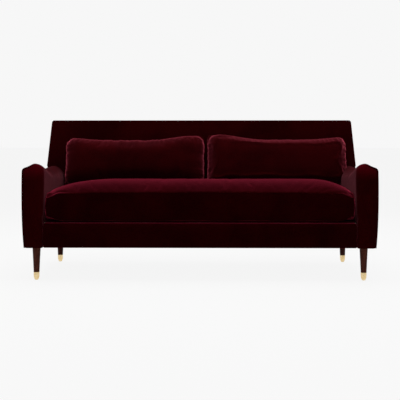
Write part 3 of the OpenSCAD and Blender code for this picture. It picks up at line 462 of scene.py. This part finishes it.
def rounded(x, y, a, b, r):
    """Points of a rectangle of half sizes a and b, drawn in to corners of radius r."""
    sx, sy = (np.abs(x) - (a - r)) / r, (np.abs(y) - (b - r)) / r
    corner = (sx > 0) & (sy > 0)
    tx, ty = np.clip(sx, 0, 1), np.clip(sy, 0, 1)
    nx = np.where(corner, a - r + r * tx * np.sqrt(1 - ty * ty / 2), np.abs(x))
    ny = np.where(corner, b - r + r * ty * np.sqrt(1 - tx * tx / 2), np.abs(y))
    return np.sign(x) * nx, np.sign(y) * ny


def unit_grid(nu, nv):
    gx, gy = np.meshgrid(np.linspace(-1, 1, nu), np.linspace(-1, 1, nv))
    return gx.ravel(), gy.ravel()


def sheet_grid(nu, nv):
    """The quads of a grid of nu by nv points, and its boundary loop, turning left."""
    quads = [
        (j * nu + i, j * nu + i + 1, (j + 1) * nu + i + 1, (j + 1) * nu + i)
        for j in range(nv - 1) for i in range(nu - 1)
    ]
    loop = (
        list(range(nu)) + [j * nu + nu - 1 for j in range(1, nv)]
        + [(nv - 1) * nu + i for i in range(nu - 2, -1, -1)] + [j * nu for j in range(nv - 2, 0, -1)]
    )
    return quads, loop


def lower_copy(nu, nv, loop, rim, start):
    """A second grid that shares the points of rim as its edge and adds the others from start on.

    Gives a mask of the points that it adds, and the place of each point.
    """
    added = np.ones(nu * nv, bool)
    added[loop] = False
    at = dict(zip(loop, rim))
    at.update((int(k), start + i) for i, k in enumerate(np.nonzero(added)[0]))
    return added, at


def boxed(nu, nv, top, rows, low):
    """A closed form: a grid on top, rows down from its edge, and a grid below inside the last row."""
    quads, loop = sheet_grid(nu, nv)
    points, faces = [top], list(quads)
    above, count = loop, len(top)
    for row in rows:
        here = list(range(count, count + len(loop)))
        for k in range(len(loop)):
            m = (k + 1) % len(loop)
            faces.append((above[k], here[k], here[m], above[m]))
        points.append(row)
        above, count = here, count + len(loop)
    added, at = lower_copy(nu, nv, loop, above, count)
    points.append(low[added])
    faces += [tuple(at[k] for k in q[::-1]) for q in quads]
    return np.concatenate(points), faces


def inset_share(x, y, a, b, power=4.0, ends=1.0):
    """How far in from the outline a point lies, as a share of b, rounded at the corners.

    ends is the length over which the ends in X rise, as a share of b.
    """
    sx, sy = np.clip((a - np.abs(x)) / (b * ends), 0, 1), np.clip((b - np.abs(y)) / b, 0, 1)
    return 1 - np.clip((1 - sx) ** power + (1 - sy) ** power, 0, 1) ** (1 / power)


def edge_rise(s, power):
    """Height of a crown, from 0 at its seam to 1, at a share s of the way in."""
    return 1 - (1 - s) ** power


def zip_bed(obj, name):
    """Presses the cloth down below the zip's tape, with soft shoulders, so that the zip shows."""
    tape_half, sunk, shoulder, slope, wall = 0.0065, 0.0022, 0.02, 0.9, 100
    reach_in, reach = 0.03, 0.03
    tape = coords(nodes[name])
    middle = (tape.min(0) + tape.max(0)) / 2
    across = np.linalg.svd(tape - tape.mean(0), full_matrices=False)[2][1]
    along = np.array([1.0, 0, 0])
    out = np.cross(along, across)
    out *= 1 if out[1] > 0 else -1
    half = np.abs((tape - middle) @ along).max()
    co = coords(obj)
    d = co - middle
    side = np.maximum(np.abs(d @ across) - tape_half, 0)
    end = np.maximum(np.abs(d @ along) - half, 0)
    away = np.hypot(side, end)
    roof = -sunk + np.minimum(away, shoulder) * slope + wall * np.maximum(away - shoulder, 0)
    over = np.maximum(d @ out - roof, 0)
    near = (d @ out > -reach_in) & (away < reach)
    set_coords(obj, co - out * (over * near)[:, None])


def seat_cushion():
    """The bench cushion: a crowned top, a side band between two seams, and a foot turned under."""
    step = 0.010
    a, b = CUSHION_A, (CUSHION_REAR - CUSHION_FRONT) / 2
    mid = (CUSHION_FRONT + CUSHION_REAR) / 2
    nu, nv = int(2 * a / step) + 1, int(2 * b / step) + 1
    gx, gy = unit_grid(nu, nv)
    loop = sheet_grid(nu, nv)[1]
    # Towards each corner the lower seam rises and the upper one dips
    corner_reach, corner_rise, corner_dip = 0.085, 0.022, 0.026

    def plan(inset):
        """The outline less inset, with its front and ends drawn in, and how near each corner is."""
        x, y = rounded(gx * (a - inset), gy * (b - inset), a - inset, b - inset, CUSHION_CORNER_R)
        near = smooth(1 - np.hypot(a - np.abs(x), b - np.abs(y)) / corner_reach)
        x = x * (1 - CUSHION_DRAW / a * (1 - (y / b) ** 2))
        y = y * (1 - np.where(y > 0, 0.0, CUSHION_DRAW) / b * (1 - (x / a) ** 2))
        return x, y, near

    x, y, near = plan(0)
    # The crown rises over a longer way at the left end than at the right, as in the photograph
    ends = mix(1.4, 0.75, smooth(x / 0.4 + 0.5))
    rise = CROWN * edge_rise(inset_share(x, y, a, b, ends=ends), 2.2) ** 0.76
    top = np.stack([x, y + mid, SEAM_HIGH - corner_dip * near + rise], 1)
    # Rows below the upper seam, as inset and height: the side band, closer beside the zip, the lower
    # seam and the foot, which turns under and drops to the deck
    band = [0.458, 0.447, 0.436, 0.425, 0.414, 0.4065, 0.4025, 0.3995,
            0.3915, 0.3885, 0.3845, 0.377, 0.366, 0.355, 0.344, 0.333]
    swell, foot_in = 0.0035, 0.070
    levels = [(-swell * math.sin(math.pi * (SEAM_HIGH - z) / (SEAM_HIGH - SEAM_LOW)), z) for z in band]
    levels += [(0.0, SEAM_LOW), (0.004, 0.3214), (0.012, 0.3209), (0.055, 0.3200),
               (foot_in, DECK + 0.0010)]
    rows = []
    for inset, z in levels:
        x, y, near = plan(inset)
        up = corner_rise - (corner_rise + corner_dip) * (z - SEAM_LOW) / (SEAM_HIGH - SEAM_LOW)
        up = smooth((z - DECK) / (SEAM_LOW - DECK)) * up
        rows.append(np.stack([x[loop], y[loop] + mid, z + up * near[loop]], 1))
    x, y, near = plan(foot_in)
    low = np.stack([x, y + mid, np.full(len(x), DECK + SOFT_GAP)], 1)
    points, faces = boxed(nu, nv, top, rows, low)
    obj = new_mesh("seat_cushion", points, faces, SEAT_VELVET)

    edge = nu * nv + len(loop) * len(band)
    low_seam = np.arange(edge, edge + len(loop))
    on_seam = np.zeros(len(points), bool)
    on_seam[loop] = on_seam[low_seam] = True
    below = np.arange(len(points)) >= edge + len(loop)
    co = coords(obj)
    co[on_seam, 2] += 0.0018 * noise(co, 0.19, 3)[on_seam]
    # A little inside, to swell back out between the seams
    from_seam = np.minimum(np.abs(co[:, 2] - SEAM_HIGH), np.abs(co[:, 2] - SEAM_LOW))
    inward = 0.004 * smooth(from_seam / 0.04) * ~below
    set_coords(obj, co - normals(obj) * inward[:, None])
    puff(obj, on_seam | below, pressure=2.8, grow=0.010, cap=0.011)
    return obj, np.asarray(loop), low_seam


def lumbar_middle(name):
    """The middle of a lumbar cushion's own frame in the sofa: its X, and the rest from its CAD node."""
    low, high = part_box("lumbar_cover_" + name)
    return np.array([LUMBARS[name].x, (low.y + high.y) / 2, (low.z + high.z) / 2])


def lumbar_cushion(name):
    """One knife-edge cushion: a front and a rear panel that share the seam."""
    step = 0.0062
    a, b = LUMBAR_W / 2, LUMBAR_H / 2
    nu, nv = int(2 * a / step) + 1, int(2 * b / step) + 1
    quads, loop = sheet_grid(nu, nv)
    gx, gy = unit_grid(nu, nv)
    u, v = rounded(gx * a, gy * b, a, b, LUMBAR_CORNER_R)
    x = u * (1 - LUMBAR_END_DRAW / a * (1 - (v / b) ** 2))
    y = v * (1 - LUMBAR_DRAW / b * (1 - (u / a) ** 2))
    # The upper seam stands higher towards the middle of the sofa and a little at the outer end, as in
    # the photograph
    inward = -SIDES[name] * u
    lift = (LUMBARS[name].lift + 0.021 * smooth((inward - 0.08) / 0.24)
            + 0.007 * smooth((-inward - 0.2) / 0.2))
    raised = lift * smooth(v / b)
    y = y + raised
    s = inset_share(u, v, a, b, 5.0)
    swell = edge_rise(s, 3.2) ** 0.54
    added, at = lower_copy(nu, nv, loop, loop, nu * nv)
    faces = quads + [tuple(at[k] for k in q[::-1]) for q in quads]
    front = np.stack([x, y, LUMBAR_FRONT * swell], 1)
    rear = np.stack([x, y, -LUMBAR_REAR * swell], 1)
    flat = np.concatenate([front, rear[added]])
    seed = LUMBARS[name].seed
    seam = np.zeros(len(flat), bool)
    seam[loop] = True
    flat[seam, 2] += 0.003 * noise(flat[seam], 0.16, seed)
    flat[seam, :2] *= 1 - 0.004 * (1 + noise(flat[seam], 0.05, seed + 9))[:, None]
    leaned = flat[:, :1] * ACROSS + flat[:, 1:2] * UP + flat[:, 2:] * AHEAD
    # Set in the CAD node's place as if its upper seam weren't raised
    plain = leaned.copy()
    plain[:, 2] -= np.concatenate([raised, raised[added]]) * math.cos(LEAN)
    middle = (plain.max(0) + plain.min(0)) / 2
    middle[0] = 0
    obj = new_mesh("lumbar_cushion_" + name, leaned - middle + lumbar_middle(name), faces, LUMBAR_VELVET)
    # A little inside, to swell back out
    inward = 0.006 * smooth(np.concatenate([s, s[added]]) / 0.3)
    set_coords(obj, coords(obj) - normals(obj) * inward[:, None])
    puff(obj, seam, pressure=3.5, grow=0.012, cap=0.009, stiff=14.0, bend=0.5)
    return obj, np.asarray(loop)


def pucker(obj, name):
    """Gathers along a lumbar cushion's seam: short ridges that run in from it, and longer creases."""
    co = coords(obj)
    d = co - lumbar_middle(name)
    u, v = d @ ACROSS, d @ UP
    a, b = LUMBAR_W / 2, LUMBAR_H / 2
    from_end, from_long = np.maximum(a - np.abs(u), 0), np.maximum(b - np.abs(v), 0)
    panel = np.sign(d @ AHEAD) * 3
    line = np.stack([u, np.sign(v), panel], 1)
    tall = np.stack([v, np.sign(u) * 2, panel], 1)
    seed = LUMBARS[name].gathers
    out = np.zeros(len(co))
    for pitch, depth, size in ((0.0135, 0.011, 0.0011), (0.031, 0.026, 0.0022), (0.085, 0.06, 0.0032)):
        for t, away, key in ((line, from_long, 1), (tall, from_end, 2)):
            drift = 2.4 * noise(t, pitch * 5, seed + key)
            share = 0.55 + 0.45 * noise(t + 0.37, pitch * 4, seed + key + 20)
            near = np.exp(-away / depth) * (1 - np.exp(-away / 0.004))
            out += size * share * near * np.sin(2 * math.pi * t[:, 0] / pitch + drift)
    set_coords(obj, co + normals(obj) * out[:, None])


def arm_shape(y):
    """What the arm's section depends on at y: its top, crest and rounds."""
    t = min(max((y - FRONT) / (inside_y(ARM_REAR_H) - FRONT), 0), 1)
    if t < DIP_AT:
        top = mix(ARM_FRONT_H, ARM_MID_H, smooth(t / DIP_AT))
    else:
        top = mix(ARM_MID_H, ARM_REAR_H, smooth((t - DIP_AT) / (1 - DIP_AT)))
    return {
        "top": top,
        "crest": ARM_IN_X + mix(DOME_IN, CREST_REAR_IN, smooth(t)),
        "dome": DOME_H * (1 - smooth(t / DIP_AT)),
        "in_low": top - mix(ROUND_FRONT, ROUND_REAR, smooth(t)),
        "out_low": top - OUTER_ROUND,
        "in_power": 2 / mix(2.4, 2.1, t),
        "out_power": 2 / mix(3.4, 2.4, t),
    }


def arm_outer_x(z):
    if z < WIDEST_H:
        return HALF_W - OUTER_DRAW * ((WIDEST_H - z) / (WIDEST_H - UNDER)) ** 2.6
    return HALF_W - OUTER_DRAW / 4 * ((z - WIDEST_H) / (ARM_FRONT_H - WIDEST_H)) ** 2


def edge_in(r, deep):
    """How far an edge rounded to radius r is drawn in, deep behind its face."""
    return 0 if deep >= r else r - math.sqrt(max(0, r * r - (r - deep) ** 2))


def arm_section(y, count):
    """Points of X and Z at one Y: count of them from the inner foot to the crest, and as many from
    there to the outer foot, which share the crest."""
    a = arm_shape(y)
    deep = y - FRONT
    draw = edge_in(ARM_EDGE_R, deep)
    top, crest = a["top"] - draw, a["crest"]
    straight, turn = 20, 24

    def inner_x(z):
        r = mix(ARM_EDGE_R / 2, ARM_INNER_R, smooth((z - DECK) / (ARM_MID_H - DECK)))
        return ARM_IN_X + edge_in(r, deep)

    in_x, out_x = inner_x(a["in_low"]), arm_outer_x(a["out_low"]) - draw
    line = [[inner_x(z), z] for z in np.linspace(UNDER, a["in_low"], straight)]
    for w in np.linspace(0, math.pi / 2, turn)[1:]:
        line.append([crest - (crest - in_x) * math.cos(w) ** a["in_power"],
                     a["in_low"] + (top - a["in_low"]) * math.sin(w) ** a["in_power"]])
    side = []
    for w in np.linspace(0, math.pi / 2, turn)[:-1]:
        x = crest + (out_x - crest) * math.cos(w) ** a["out_power"]
        dome = a["dome"] * (1 + math.cos(math.pi * min(1, (x - crest) / (DOME_IN - 0.005)))) / 2
        side.append([x, a["out_low"]
                     + (top - a["dome"] - a["out_low"]) * math.sin(w) ** a["out_power"] + dome])
    side = side[::-1] + [[arm_outer_x(z) - draw, z] for z in np.linspace(a["out_low"], UNDER, straight)[1:]]
    return np.concatenate([spread(line, count), spread([line[-1]] + side, count)[1:]])


def arm(name):
    """A padded arm as a closed form: its long surface, its front panel and its rear and foot."""
    side = SIDES[name]
    count, steps, cells = 58, 72, 12
    n = 2 * count - 1
    edge = FRONT + ARM_INNER_R
    # Rings close together round the front edge, then evenly spaced to the back
    rings = []
    for k in (0.0, 0.03, 0.11, 0.22, 0.36, 0.52, 0.74):
        y = FRONT + (edge - FRONT) * k
        rings.append(np.insert(arm_section(y, count), 1, y, axis=1))
    for k in np.arange(steps + 1) / steps:
        ring = arm_section(mix(edge, inside_y(ARM_REAR_H), k), count)
        y = mix(edge, inside_y(ring[:, 1]) - SOFT_GAP, k)
        rings.append(np.stack([ring[:, 0], y, ring[:, 1]], 1))
    points = [p for ring in rings for p in ring]
    faces = sheet_grid(n, len(rings))[0]

    def row_between(first, last):
        """A row from one point to another, with new points between them."""
        line = [first]
        for c in range(1, cells):
            points.append(mix(points[first], points[last], c / cells))
            line.append(len(points) - 1)
        return line + [last]

    # The front panel and the rear: rows from each inner point to the outer one at its height
    ends = []
    for start, turn in ((0, 1), ((len(rings) - 1) * n, -1)):
        rows = [row_between(start + i, start + n - 1 - i) for i in range(count - 1)]
        for p, q in zip(rows, rows[1:]):
            faces += [(p[c], p[c + 1], q[c + 1], q[c])[::turn] for c in range(cells)]
        p, crest = rows[-1], start + count - 1
        faces += [(p[c], p[c + 1], crest)[::turn] for c in range(cells)]
        ends.append(rows[0])
    # The foot
    rows = [ends[0], *(row_between(j * n, j * n + n - 1) for j in range(1, len(rings) - 1)), ends[1]]
    for p, q in zip(rows, rows[1:]):
        faces += [(p[c], q[c], q[c + 1], p[c + 1]) for c in range(cells)]
    points = np.asarray(points) * [side, 1, 1]
    if side < 0:
        faces = [f[::-1] for f in faces]
    obj = new_mesh("arm_" + name, points, faces, ARM_VELVET)

    co = coords(obj)
    rear_gap = inside_y(co[:, 2]) - co[:, 1]
    inner = np.abs(np.abs(co[:, 0]) - ARM_IN_X)
    held = (co[:, 2] < UNDER + 0.004) | (rear_gap < 0.006)
    held |= (np.abs(co[:, 0]) < ARM_IN_X + 0.02) & (co[:, 2] < DECK)
    # The seam round the outer edge of the front panel
    seam_ring = 2
    held[seam_ring * n + count - 1:(seam_ring + 1) * n] = True
    from_edge = np.minimum.reduce([
        co[:, 2] - UNDER, rear_gap + 0.01, np.where(co[:, 2] > DECK, 1.0, 0.0) + inner])
    out = normals(obj)
    inward = 0.0012 * np.abs(out[:, 0]) * ~held
    set_coords(obj, co - out * (inward * smooth(from_edge / 0.05))[:, None])
    puff(obj, held, pressure=1.2, grow=0.012, cap=0.003, stiff=20.0, bend=0.8)
    return obj


def arm_piping(name):
    """Piping up the outer edge of an arm's front, over the shoulder and into the seam on the dome."""
    count = 90
    ring = arm_section(FRONT + ARM_INNER_R, count)[count - 1:][::-1]
    steps = np.gradient(ring, axis=0)
    out = np.stack([steps[:, 1], -steps[:, 0]], 1) / np.linalg.norm(steps, axis=1)[:, None]
    # Over its last part it sinks into the seam
    k = np.linspace(0, 1, len(ring))
    sunk = 0.004 * smooth((k - 0.93) / 0.07)
    flat = ring - out * (WELT_IN + sunk)[:, None]
    path = np.stack([flat[:, 0] * SIDES[name], FRONT + WELT_IN + sunk, flat[:, 1]], 1)
    path[0, 2] += WELT_R * 0.6
    return tube("arm_piping_" + name, path, WELT_R, PIPING, 12)


def back_x(z):
    """Half the back's width at height z."""
    up = np.clip((z - ARM_REAR_H) / (SOFA_H - ARM_REAR_H), 0, 1)
    return mix(BACK_HALF_W, BACK_TOP_HALF_W, up)


def back_wrap():
    """The upholstered back: inside face, top and sides in one closed form with rounded edges."""
    nu, nv = 190, 15
    gx, gy = unit_grid(nu, nv)
    loop = sheet_grid(nu, nv)[1]
    r = BACK_EDGE_R
    # Its rear is at the surface above the lip, and below it leaves room for the outside panel
    at_surface, room = 0.0002, 0.0036

    def level(inset, z):
        a = back_x(z) - inset
        near = inside_y(z) + inset
        far = outside_y(z) - (at_surface if z > BACK_LIP else room) - inset
        b, mid = (far - near) / 2, (far + near) / 2
        x, y = rounded(gx * a, gy * b, a, b, r)
        return np.stack([x, y + mid, np.full(len(x), z)], 1)

    top = level(r, SOFA_H)
    top[:, 2] += 0.0012 * (1 - gy ** 2) * (1 - gx ** 8)
    rows = [level(r - r * math.sin(w), SOFA_H - r + r * math.cos(w))[loop]
            for w in np.linspace(0, math.pi / 2, 5)[1:]]
    heights = [BACK_LIP + 0.0006, *np.linspace(BACK_LIP - 0.0006, UNDER, 61)]
    rows += [level(0, z)[loop] for z in heights]
    points, faces = boxed(nu, nv, top, rows, level(0, UNDER))
    obj = new_mesh("inside_back", points, faces, VELVET)
    # The padded inside face swells a little between its edges
    co = coords(obj)
    front = np.clip(1 - (co[:, 1] - inside_y(co[:, 2])) / 0.004, 0, 1)
    edge = np.minimum(back_x(co[:, 2]) - np.abs(co[:, 0]), SOFA_H - co[:, 2])
    swell = 0.0035 * smooth(edge / 0.09) * (0.8 + 0.2 * noise(co, 0.35, 31)) * front
    swell *= smooth((co[:, 2] - DECK) / 0.1)
    set_coords(obj, co + AHEAD * swell[:, None])
    return obj


def outside_back():
    """The panel over the rear of the back, drawn tight over its turned edges."""
    nu, nv = 150, 60
    quads, loop = sheet_grid(nu, nv)
    gx, gy = unit_grid(nu, nv)
    z = mix(UNDER, BACK_LIP, (gy + 1) / 2)
    half = BACK_TOP_HALF_W - BACK_EDGE_R
    x = gx * half
    edge = np.minimum.reduce([half - np.abs(x), BACK_LIP - z, z - UNDER])
    # It thins out towards its edges, just inside the rear line of the back
    thick = 0.0004 + 0.0026 * np.clip(edge / 0.009, 0, 1) ** 0.5
    wave = 0.0005 * noise(np.stack([x, z, z], 1), 0.22, 41) * smooth(edge / 0.05)
    rear = np.stack([x, outside_y(z) - 0.0037 + thick + wave, z], 1)
    near = np.stack([x, outside_y(z) - 0.0034, z], 1)
    size = nu * nv
    faces = quads + [tuple(size + k for k in q[::-1]) for q in quads]
    faces += [(a, size + a, size + b, b) for a, b in zip(loop, loop[1:] + loop[:1])]
    return new_mesh("outside_back", np.concatenate([rear, near]), faces, VELVET)


def back_piping():
    """Piping up both sides of the inside face and along its top, with turned corners."""
    side = [[back_x(z) - WELT_R, inside_y(z) + WELT_R, z]
            for z in np.linspace(ARM_REAR_H, SOFA_H - 0.011, 40)]
    x, z, r = BACK_TOP_HALF_W - WELT_R, SOFA_H - 0.003, 0.008
    turn = []
    for w in np.linspace(0, math.pi / 2, 7)[1:]:
        h = z - r + r * math.sin(w)
        turn.append([x - r + r * math.cos(w), inside_y(h) + WELT_R, h])
    half = np.array(side + turn)
    other = half[::-1] * [-1, 1, 1]
    across = np.linspace(half[-1], other[0], 130)[1:-1]
    path = spread(np.concatenate([half, across, other]), step=0.006)
    return tube("back_piping", path, BACK_WELT_R, BACK_PIPING, 12)


def border():
    """The padded strip below the seat cushion, with its rounded top edge and a lip behind it."""
    reach, r = ARM_IN_X - SOFT_GAP, BORDER_R
    behind = BORDER_Y + BORDER_T
    line = [[BORDER_Y, z] for z in np.linspace(UNDER, BORDER_TOP - r, 18)]
    for w in np.linspace(0, math.pi / 2, 7)[1:]:
        line.append([BORDER_Y + r - r * math.cos(w), BORDER_TOP - r + r * math.sin(w)])
    line += [[y, BORDER_TOP] for y in np.linspace(BORDER_Y + r, BORDER_LIP_Y, 6)[1:]]
    line += [[BORDER_LIP_Y, BORDER_LIP_Z[0]], [behind, BORDER_LIP_Z[1]], [behind, UNDER]]
    n, nu = len(line), 200
    points = [[x, y, z] for x in np.linspace(-reach, reach, nu) for y, z in line]
    faces = []
    for i in range(nu - 1):
        for k in range(n):
            m = (k + 1) % n
            faces.append((i * n + k, (i + 1) * n + k, (i + 1) * n + m, i * n + m))
    faces.append(tuple(range(n)))
    faces.append(tuple((nu - 1) * n + k for k in range(n))[::-1])
    obj = new_mesh("border", points, faces, SEAT_VELVET)
    co = coords(obj)
    # Only its front face, down to the foot, is free to swell
    free = 0.020
    held = co[:, 1] > BORDER_Y + free
    held |= (co[:, 2] < UNDER + 0.003) | (np.abs(co[:, 0]) > reach - 0.002)
    puff(obj, held, pressure=0.9, grow=0.010, cap=0.005, stiff=20.0, bend=0.8)
    return obj


def cloth_sheet(name, xs, ys, z, thick, finish, sag, gone=()):
    """A thin closed sheet on lines at xs and ys, less the cells that lie in the boxes of gone."""
    gx, gy = np.meshgrid(xs, ys)
    x, y = gx.ravel(), gy.ravel()
    top = np.stack([x, y, z + sag(x, y)], 1)
    quads = []
    for q in sheet_grid(len(xs), len(ys))[0]:
        cx, cy = x[list(q)].mean(), y[list(q)].mean()
        if not any(x0 < cx < x1 and y0 < cy < y1 for x0, x1, y0, y1 in gone):
            quads.append(q)
    used = sorted({k for q in quads for k in q})
    at = {k: i for i, k in enumerate(used)}
    quads = [tuple(at[k] for k in q) for q in quads]
    size = len(used)
    edges = {(q[i], q[(i + 1) % 4]) for q in quads for i in range(4)}
    faces = quads + [tuple(size + k for k in q[::-1]) for q in quads]
    faces += [(a, size + a, size + b, b) for a, b in sorted(edges) if (b, a) not in edges]
    points = np.concatenate([top[used], top[used] - [0, 0, thick]])
    return new_mesh(name, points, faces, finish)


def deck_sheet():
    """The deck's cover, a little wavy, whose underside stays clear of the foam."""
    low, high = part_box("deck_cover")
    xs, ys = np.linspace(low.x, high.x, 120), np.linspace(low.y, high.y, 40)
    thick = high.z - low.z - 0.0015

    def sag(x, y):
        edge = np.minimum.reduce([high.x - x, x - low.x, high.y - y, y - low.y])
        wave = 0.0004 * (1 + noise(np.stack([x, y, y], 1), 0.2, 51))
        return -0.0004 * (1 - np.clip(edge / 0.01, 0, 1)) - wave

    return cloth_sheet("deck_sheet", xs, ys, high.z, thick, DECK_VELVET, sag)


def base_sheet():
    """Cloth under the base, cut out round the leg plates and hanging a little between the rails."""
    low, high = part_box("dust_cover")
    plate_low, plate_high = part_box("leg_plates")
    # Half a cut-out, and a leg plate's size
    half, size = 0.0228, 0.045
    legs = (plate_low.y + size / 2, plate_high.y - size / 2)
    inner = plate_high.x - size - 0.0225
    xs = np.concatenate([np.linspace(low.x, -inner, 6), np.linspace(-inner, inner, 90)[1:-1],
                         np.linspace(inner, high.x, 6)])
    cuts = [legs[0] - half, legs[0] + half, legs[1] - half, legs[1] + half]
    ys = np.concatenate([[low.y], np.linspace(cuts[0], cuts[1], 4), np.linspace(cuts[1], cuts[2], 40)[1:-1],
                         np.linspace(cuts[2], cuts[3], 4), [high.y]])
    gone = [(x0, x1, y - half, y + half) for x0, x1 in ((low.x, -inner), (inner, high.x)) for y in legs]
    # The rails' inner edges, between which it hangs
    rail_x, rail_front, rail_rear = 0.858, low.y + 0.028, high.y - 0.03

    def sag(x, y):
        edge = np.minimum.reduce([rail_x - np.abs(x), y - rail_front, rail_rear - y])
        wave = 1 + noise(np.stack([x, y, y], 1), 0.18, 61)
        return -0.004 * smooth(edge / 0.3) - 0.0008 * smooth(edge / 0.05) * wave

    return cloth_sheet("base_sheet", xs, ys, high.z - 0.0001, 0.0009, FINISHES["lining"], sag, gone)


def staples():
    """Small wire staples that hold the base cloth to the rails, in one piece."""
    low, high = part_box("dust_cover")
    pitch = 0.04
    spots = [(x, y, 0) for x in np.arange(-0.80, 0.801, pitch) for y in (low.y + 0.012, high.y - 0.012)]
    spots += [(x, y, 1) for y in np.arange(-0.34, 0.24, pitch) for x in (-0.885, 0.885)]
    points, faces = [], []
    top, half_t, deep = high.z - 0.0004, 0.0006, 0.0016
    profile = [(-0.0055, 0), (-0.0045, -deep), (0.0045, -deep), (0.0055, 0)]
    for n, (x, y, turned) in enumerate(spots):
        angle = 0.22 * math.sin(7.3 * n) + (math.pi / 2 if turned else 0)
        c, s = math.cos(angle), math.sin(angle)
        base = len(points)
        for across in (-half_t, half_t):
            for along, z in profile:
                points.append([x + along * c - across * s, y + along * s + across * c, top + z])
        faces += [(base, base + 1, base + 2, base + 3), (base + 7, base + 6, base + 5, base + 4)]
        for k in range(4):
            m = (k + 1) % 4
            faces.append((base + k, base + 4 + k, base + 4 + m, base + m))
    return new_mesh("staples", points, faces, FINISHES["spring_steel"])


seat, seam_high, seam_low = seat_cushion()
lumbars = {name: lumbar_cushion(name) for name in SIDES}
arms = {name: arm(name) for name in SIDES}
front_border = border()
inside_back, rear_panel, back_cord = back_wrap(), outside_back(), back_piping()
arm_cords = {name: arm_piping(name) for name in SIDES}
deck, base, tacks = deck_sheet(), base_sheet(), staples()

simulate()

cords = []
for name, (obj, loop) in lumbars.items():
    seam_at = coords(obj)[loop]
    refine(obj)
    pucker(obj, name)
    zip_bed(obj, "lumbar_zip_" + name)
    cords.append((tube("lumbar_seam_" + name, seam_at, LUMBAR_SEAM_R, PIPING, 8, closed=True),
                  "lumbar_" + name))
    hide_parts("lumbar_cover_" + name, "lumbar_insert_" + name)
    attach(obj, "lumbar_" + name)
seams = {"upper": coords(seat)[seam_high], "lower": coords(seat)[seam_low]}
for obj in (seat, *arms.values(), front_border):
    refine(obj)
zip_bed(seat, "seat_zip")
for name, line in seams.items():
    cords.append((tube("seat_seam_" + name, line, SEAT_SEAM_R, PIPING, 8, closed=True), "seat_cushion"))
for cord, body in cords:
    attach(cord, body)

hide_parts("seat_cushion_cover", "seat_cushion_core")
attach(seat, "seat_cushion")
for name, obj in arms.items():
    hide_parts("arm_cover_" + name, "arm_foam_" + name)
    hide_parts("arm_welt_" + name)
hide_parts("border_cover", "border_foam")
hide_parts("inside_back_cover", "back_foam")
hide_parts("outside_back_cover")
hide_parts("back_welt")
# share is what the cut-outs leave of the cloth
for obj, held, share, over in ((deck, "deck_cover", 1.0, ["deck_foam"]),
                               (base, "dust_cover", 0.985, ["side_rail_left", "side_rail_right"])):
    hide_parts(held)
for kind, group in (("velvet", (*arms.values(), front_border, inside_back, rear_panel)),
                    ("velvet_piping", (*arm_cords.values(), back_cord)),
                    ("deck_cloth", (deck,)), ("lining", (base,)), ("spring_steel", (tacks,))):
    for obj in group:
        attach(obj, "frame")


# Floor, light and camera


def studio():
    m, tree, shader = material("floor", (0.8, 0.8, 0.8), 0.9, Specular_IOR_Level=0.0)
    # To the camera and in gloss the floor mostly glows like the backdrop, so that no edge shows
    path = node(tree, "ShaderNodeLightPath").outputs
    seen = node(tree, "ShaderNodeMath", path["Is Camera Ray"], path["Is Glossy Ray"], operation="MAXIMUM")
    share = node(tree, "ShaderNodeMath", seen.outputs[0], 0.94, operation="MULTIPLY")
    glow = node(tree, "ShaderNodeEmission", Color=(1, 1, 1, 1), Strength=0.955)
    both = node(tree, "ShaderNodeMixShader", share.outputs[0], shader.outputs[0], glow.outputs[0])
    tree.links.new(both.outputs[0], tree.nodes["Material Output"].inputs["Surface"])
    far = 400
    points = [[-far, -far, 0], [far, -far, 0], [far, far, 0], [-far, far, 0]]
    new_mesh("floor", points, [(0, 1, 2, 3)], m)

    world = bpy.data.worlds.new("studio")
    bpy.context.scene.world = world
    world.use_nodes = True
    tree = world.node_tree
    ground = tree.nodes["Background"]
    ground.inputs["Color"].default_value = (1, 1, 1, 1)
    ground.inputs["Strength"].default_value = 0.22
    backdrop = node(tree, "ShaderNodeBackground", Color=(0.93, 0.93, 0.93, 1))
    ray = node(tree, "ShaderNodeLightPath").outputs["Is Camera Ray"]
    pick = node(tree, "ShaderNodeMixShader", ray, ground.outputs[0], backdrop.outputs[0])
    tree.links.new(pick.outputs[0], tree.nodes["World Output"].inputs["Surface"])

    for name, place, aim, size, power in (
        ("top_light", (0, 0.1, 3.4), (0, 0, 0.4), (4.0, 3.0), 130),
        ("rear_light", (0, 2.3, 2.5), (0, 0, 0.5), (4.5, 1.2), 32),
        ("front_light", (0.6, -4.2, 2.0), (0, 0, 0.45), (3.0, 2.0), 22),
    ):
        data = bpy.data.lights.new(name, "AREA")
        data.shape, data.size, data.size_y = "RECTANGLE", *size
        data.energy = power
        obj = bpy.data.objects.new(name, data)
        obj.location = place
        obj.rotation_euler = (Vector(aim) - Vector(place)).to_track_quat("-Z", "Y").to_euler()
        bpy.context.scene.collection.objects.link(obj)


studio()
# The camera was solved from the photograph's leg spacings
camera = bpy.data.cameras.new("camera")
camera.lens, camera.sensor_width, camera.shift_y = 71.28, 36, -0.1343
eye = bpy.data.objects.new("camera", camera)
bpy.context.scene.collection.objects.link(eye)
eye.location = (0.0572, -4.6555, 0.7199)
eye.rotation_euler = (math.radians(90), 0, 0.0130)
bpy.context.scene.camera = eye
bpy.context.scene.view_settings.view_transform = "Standard"
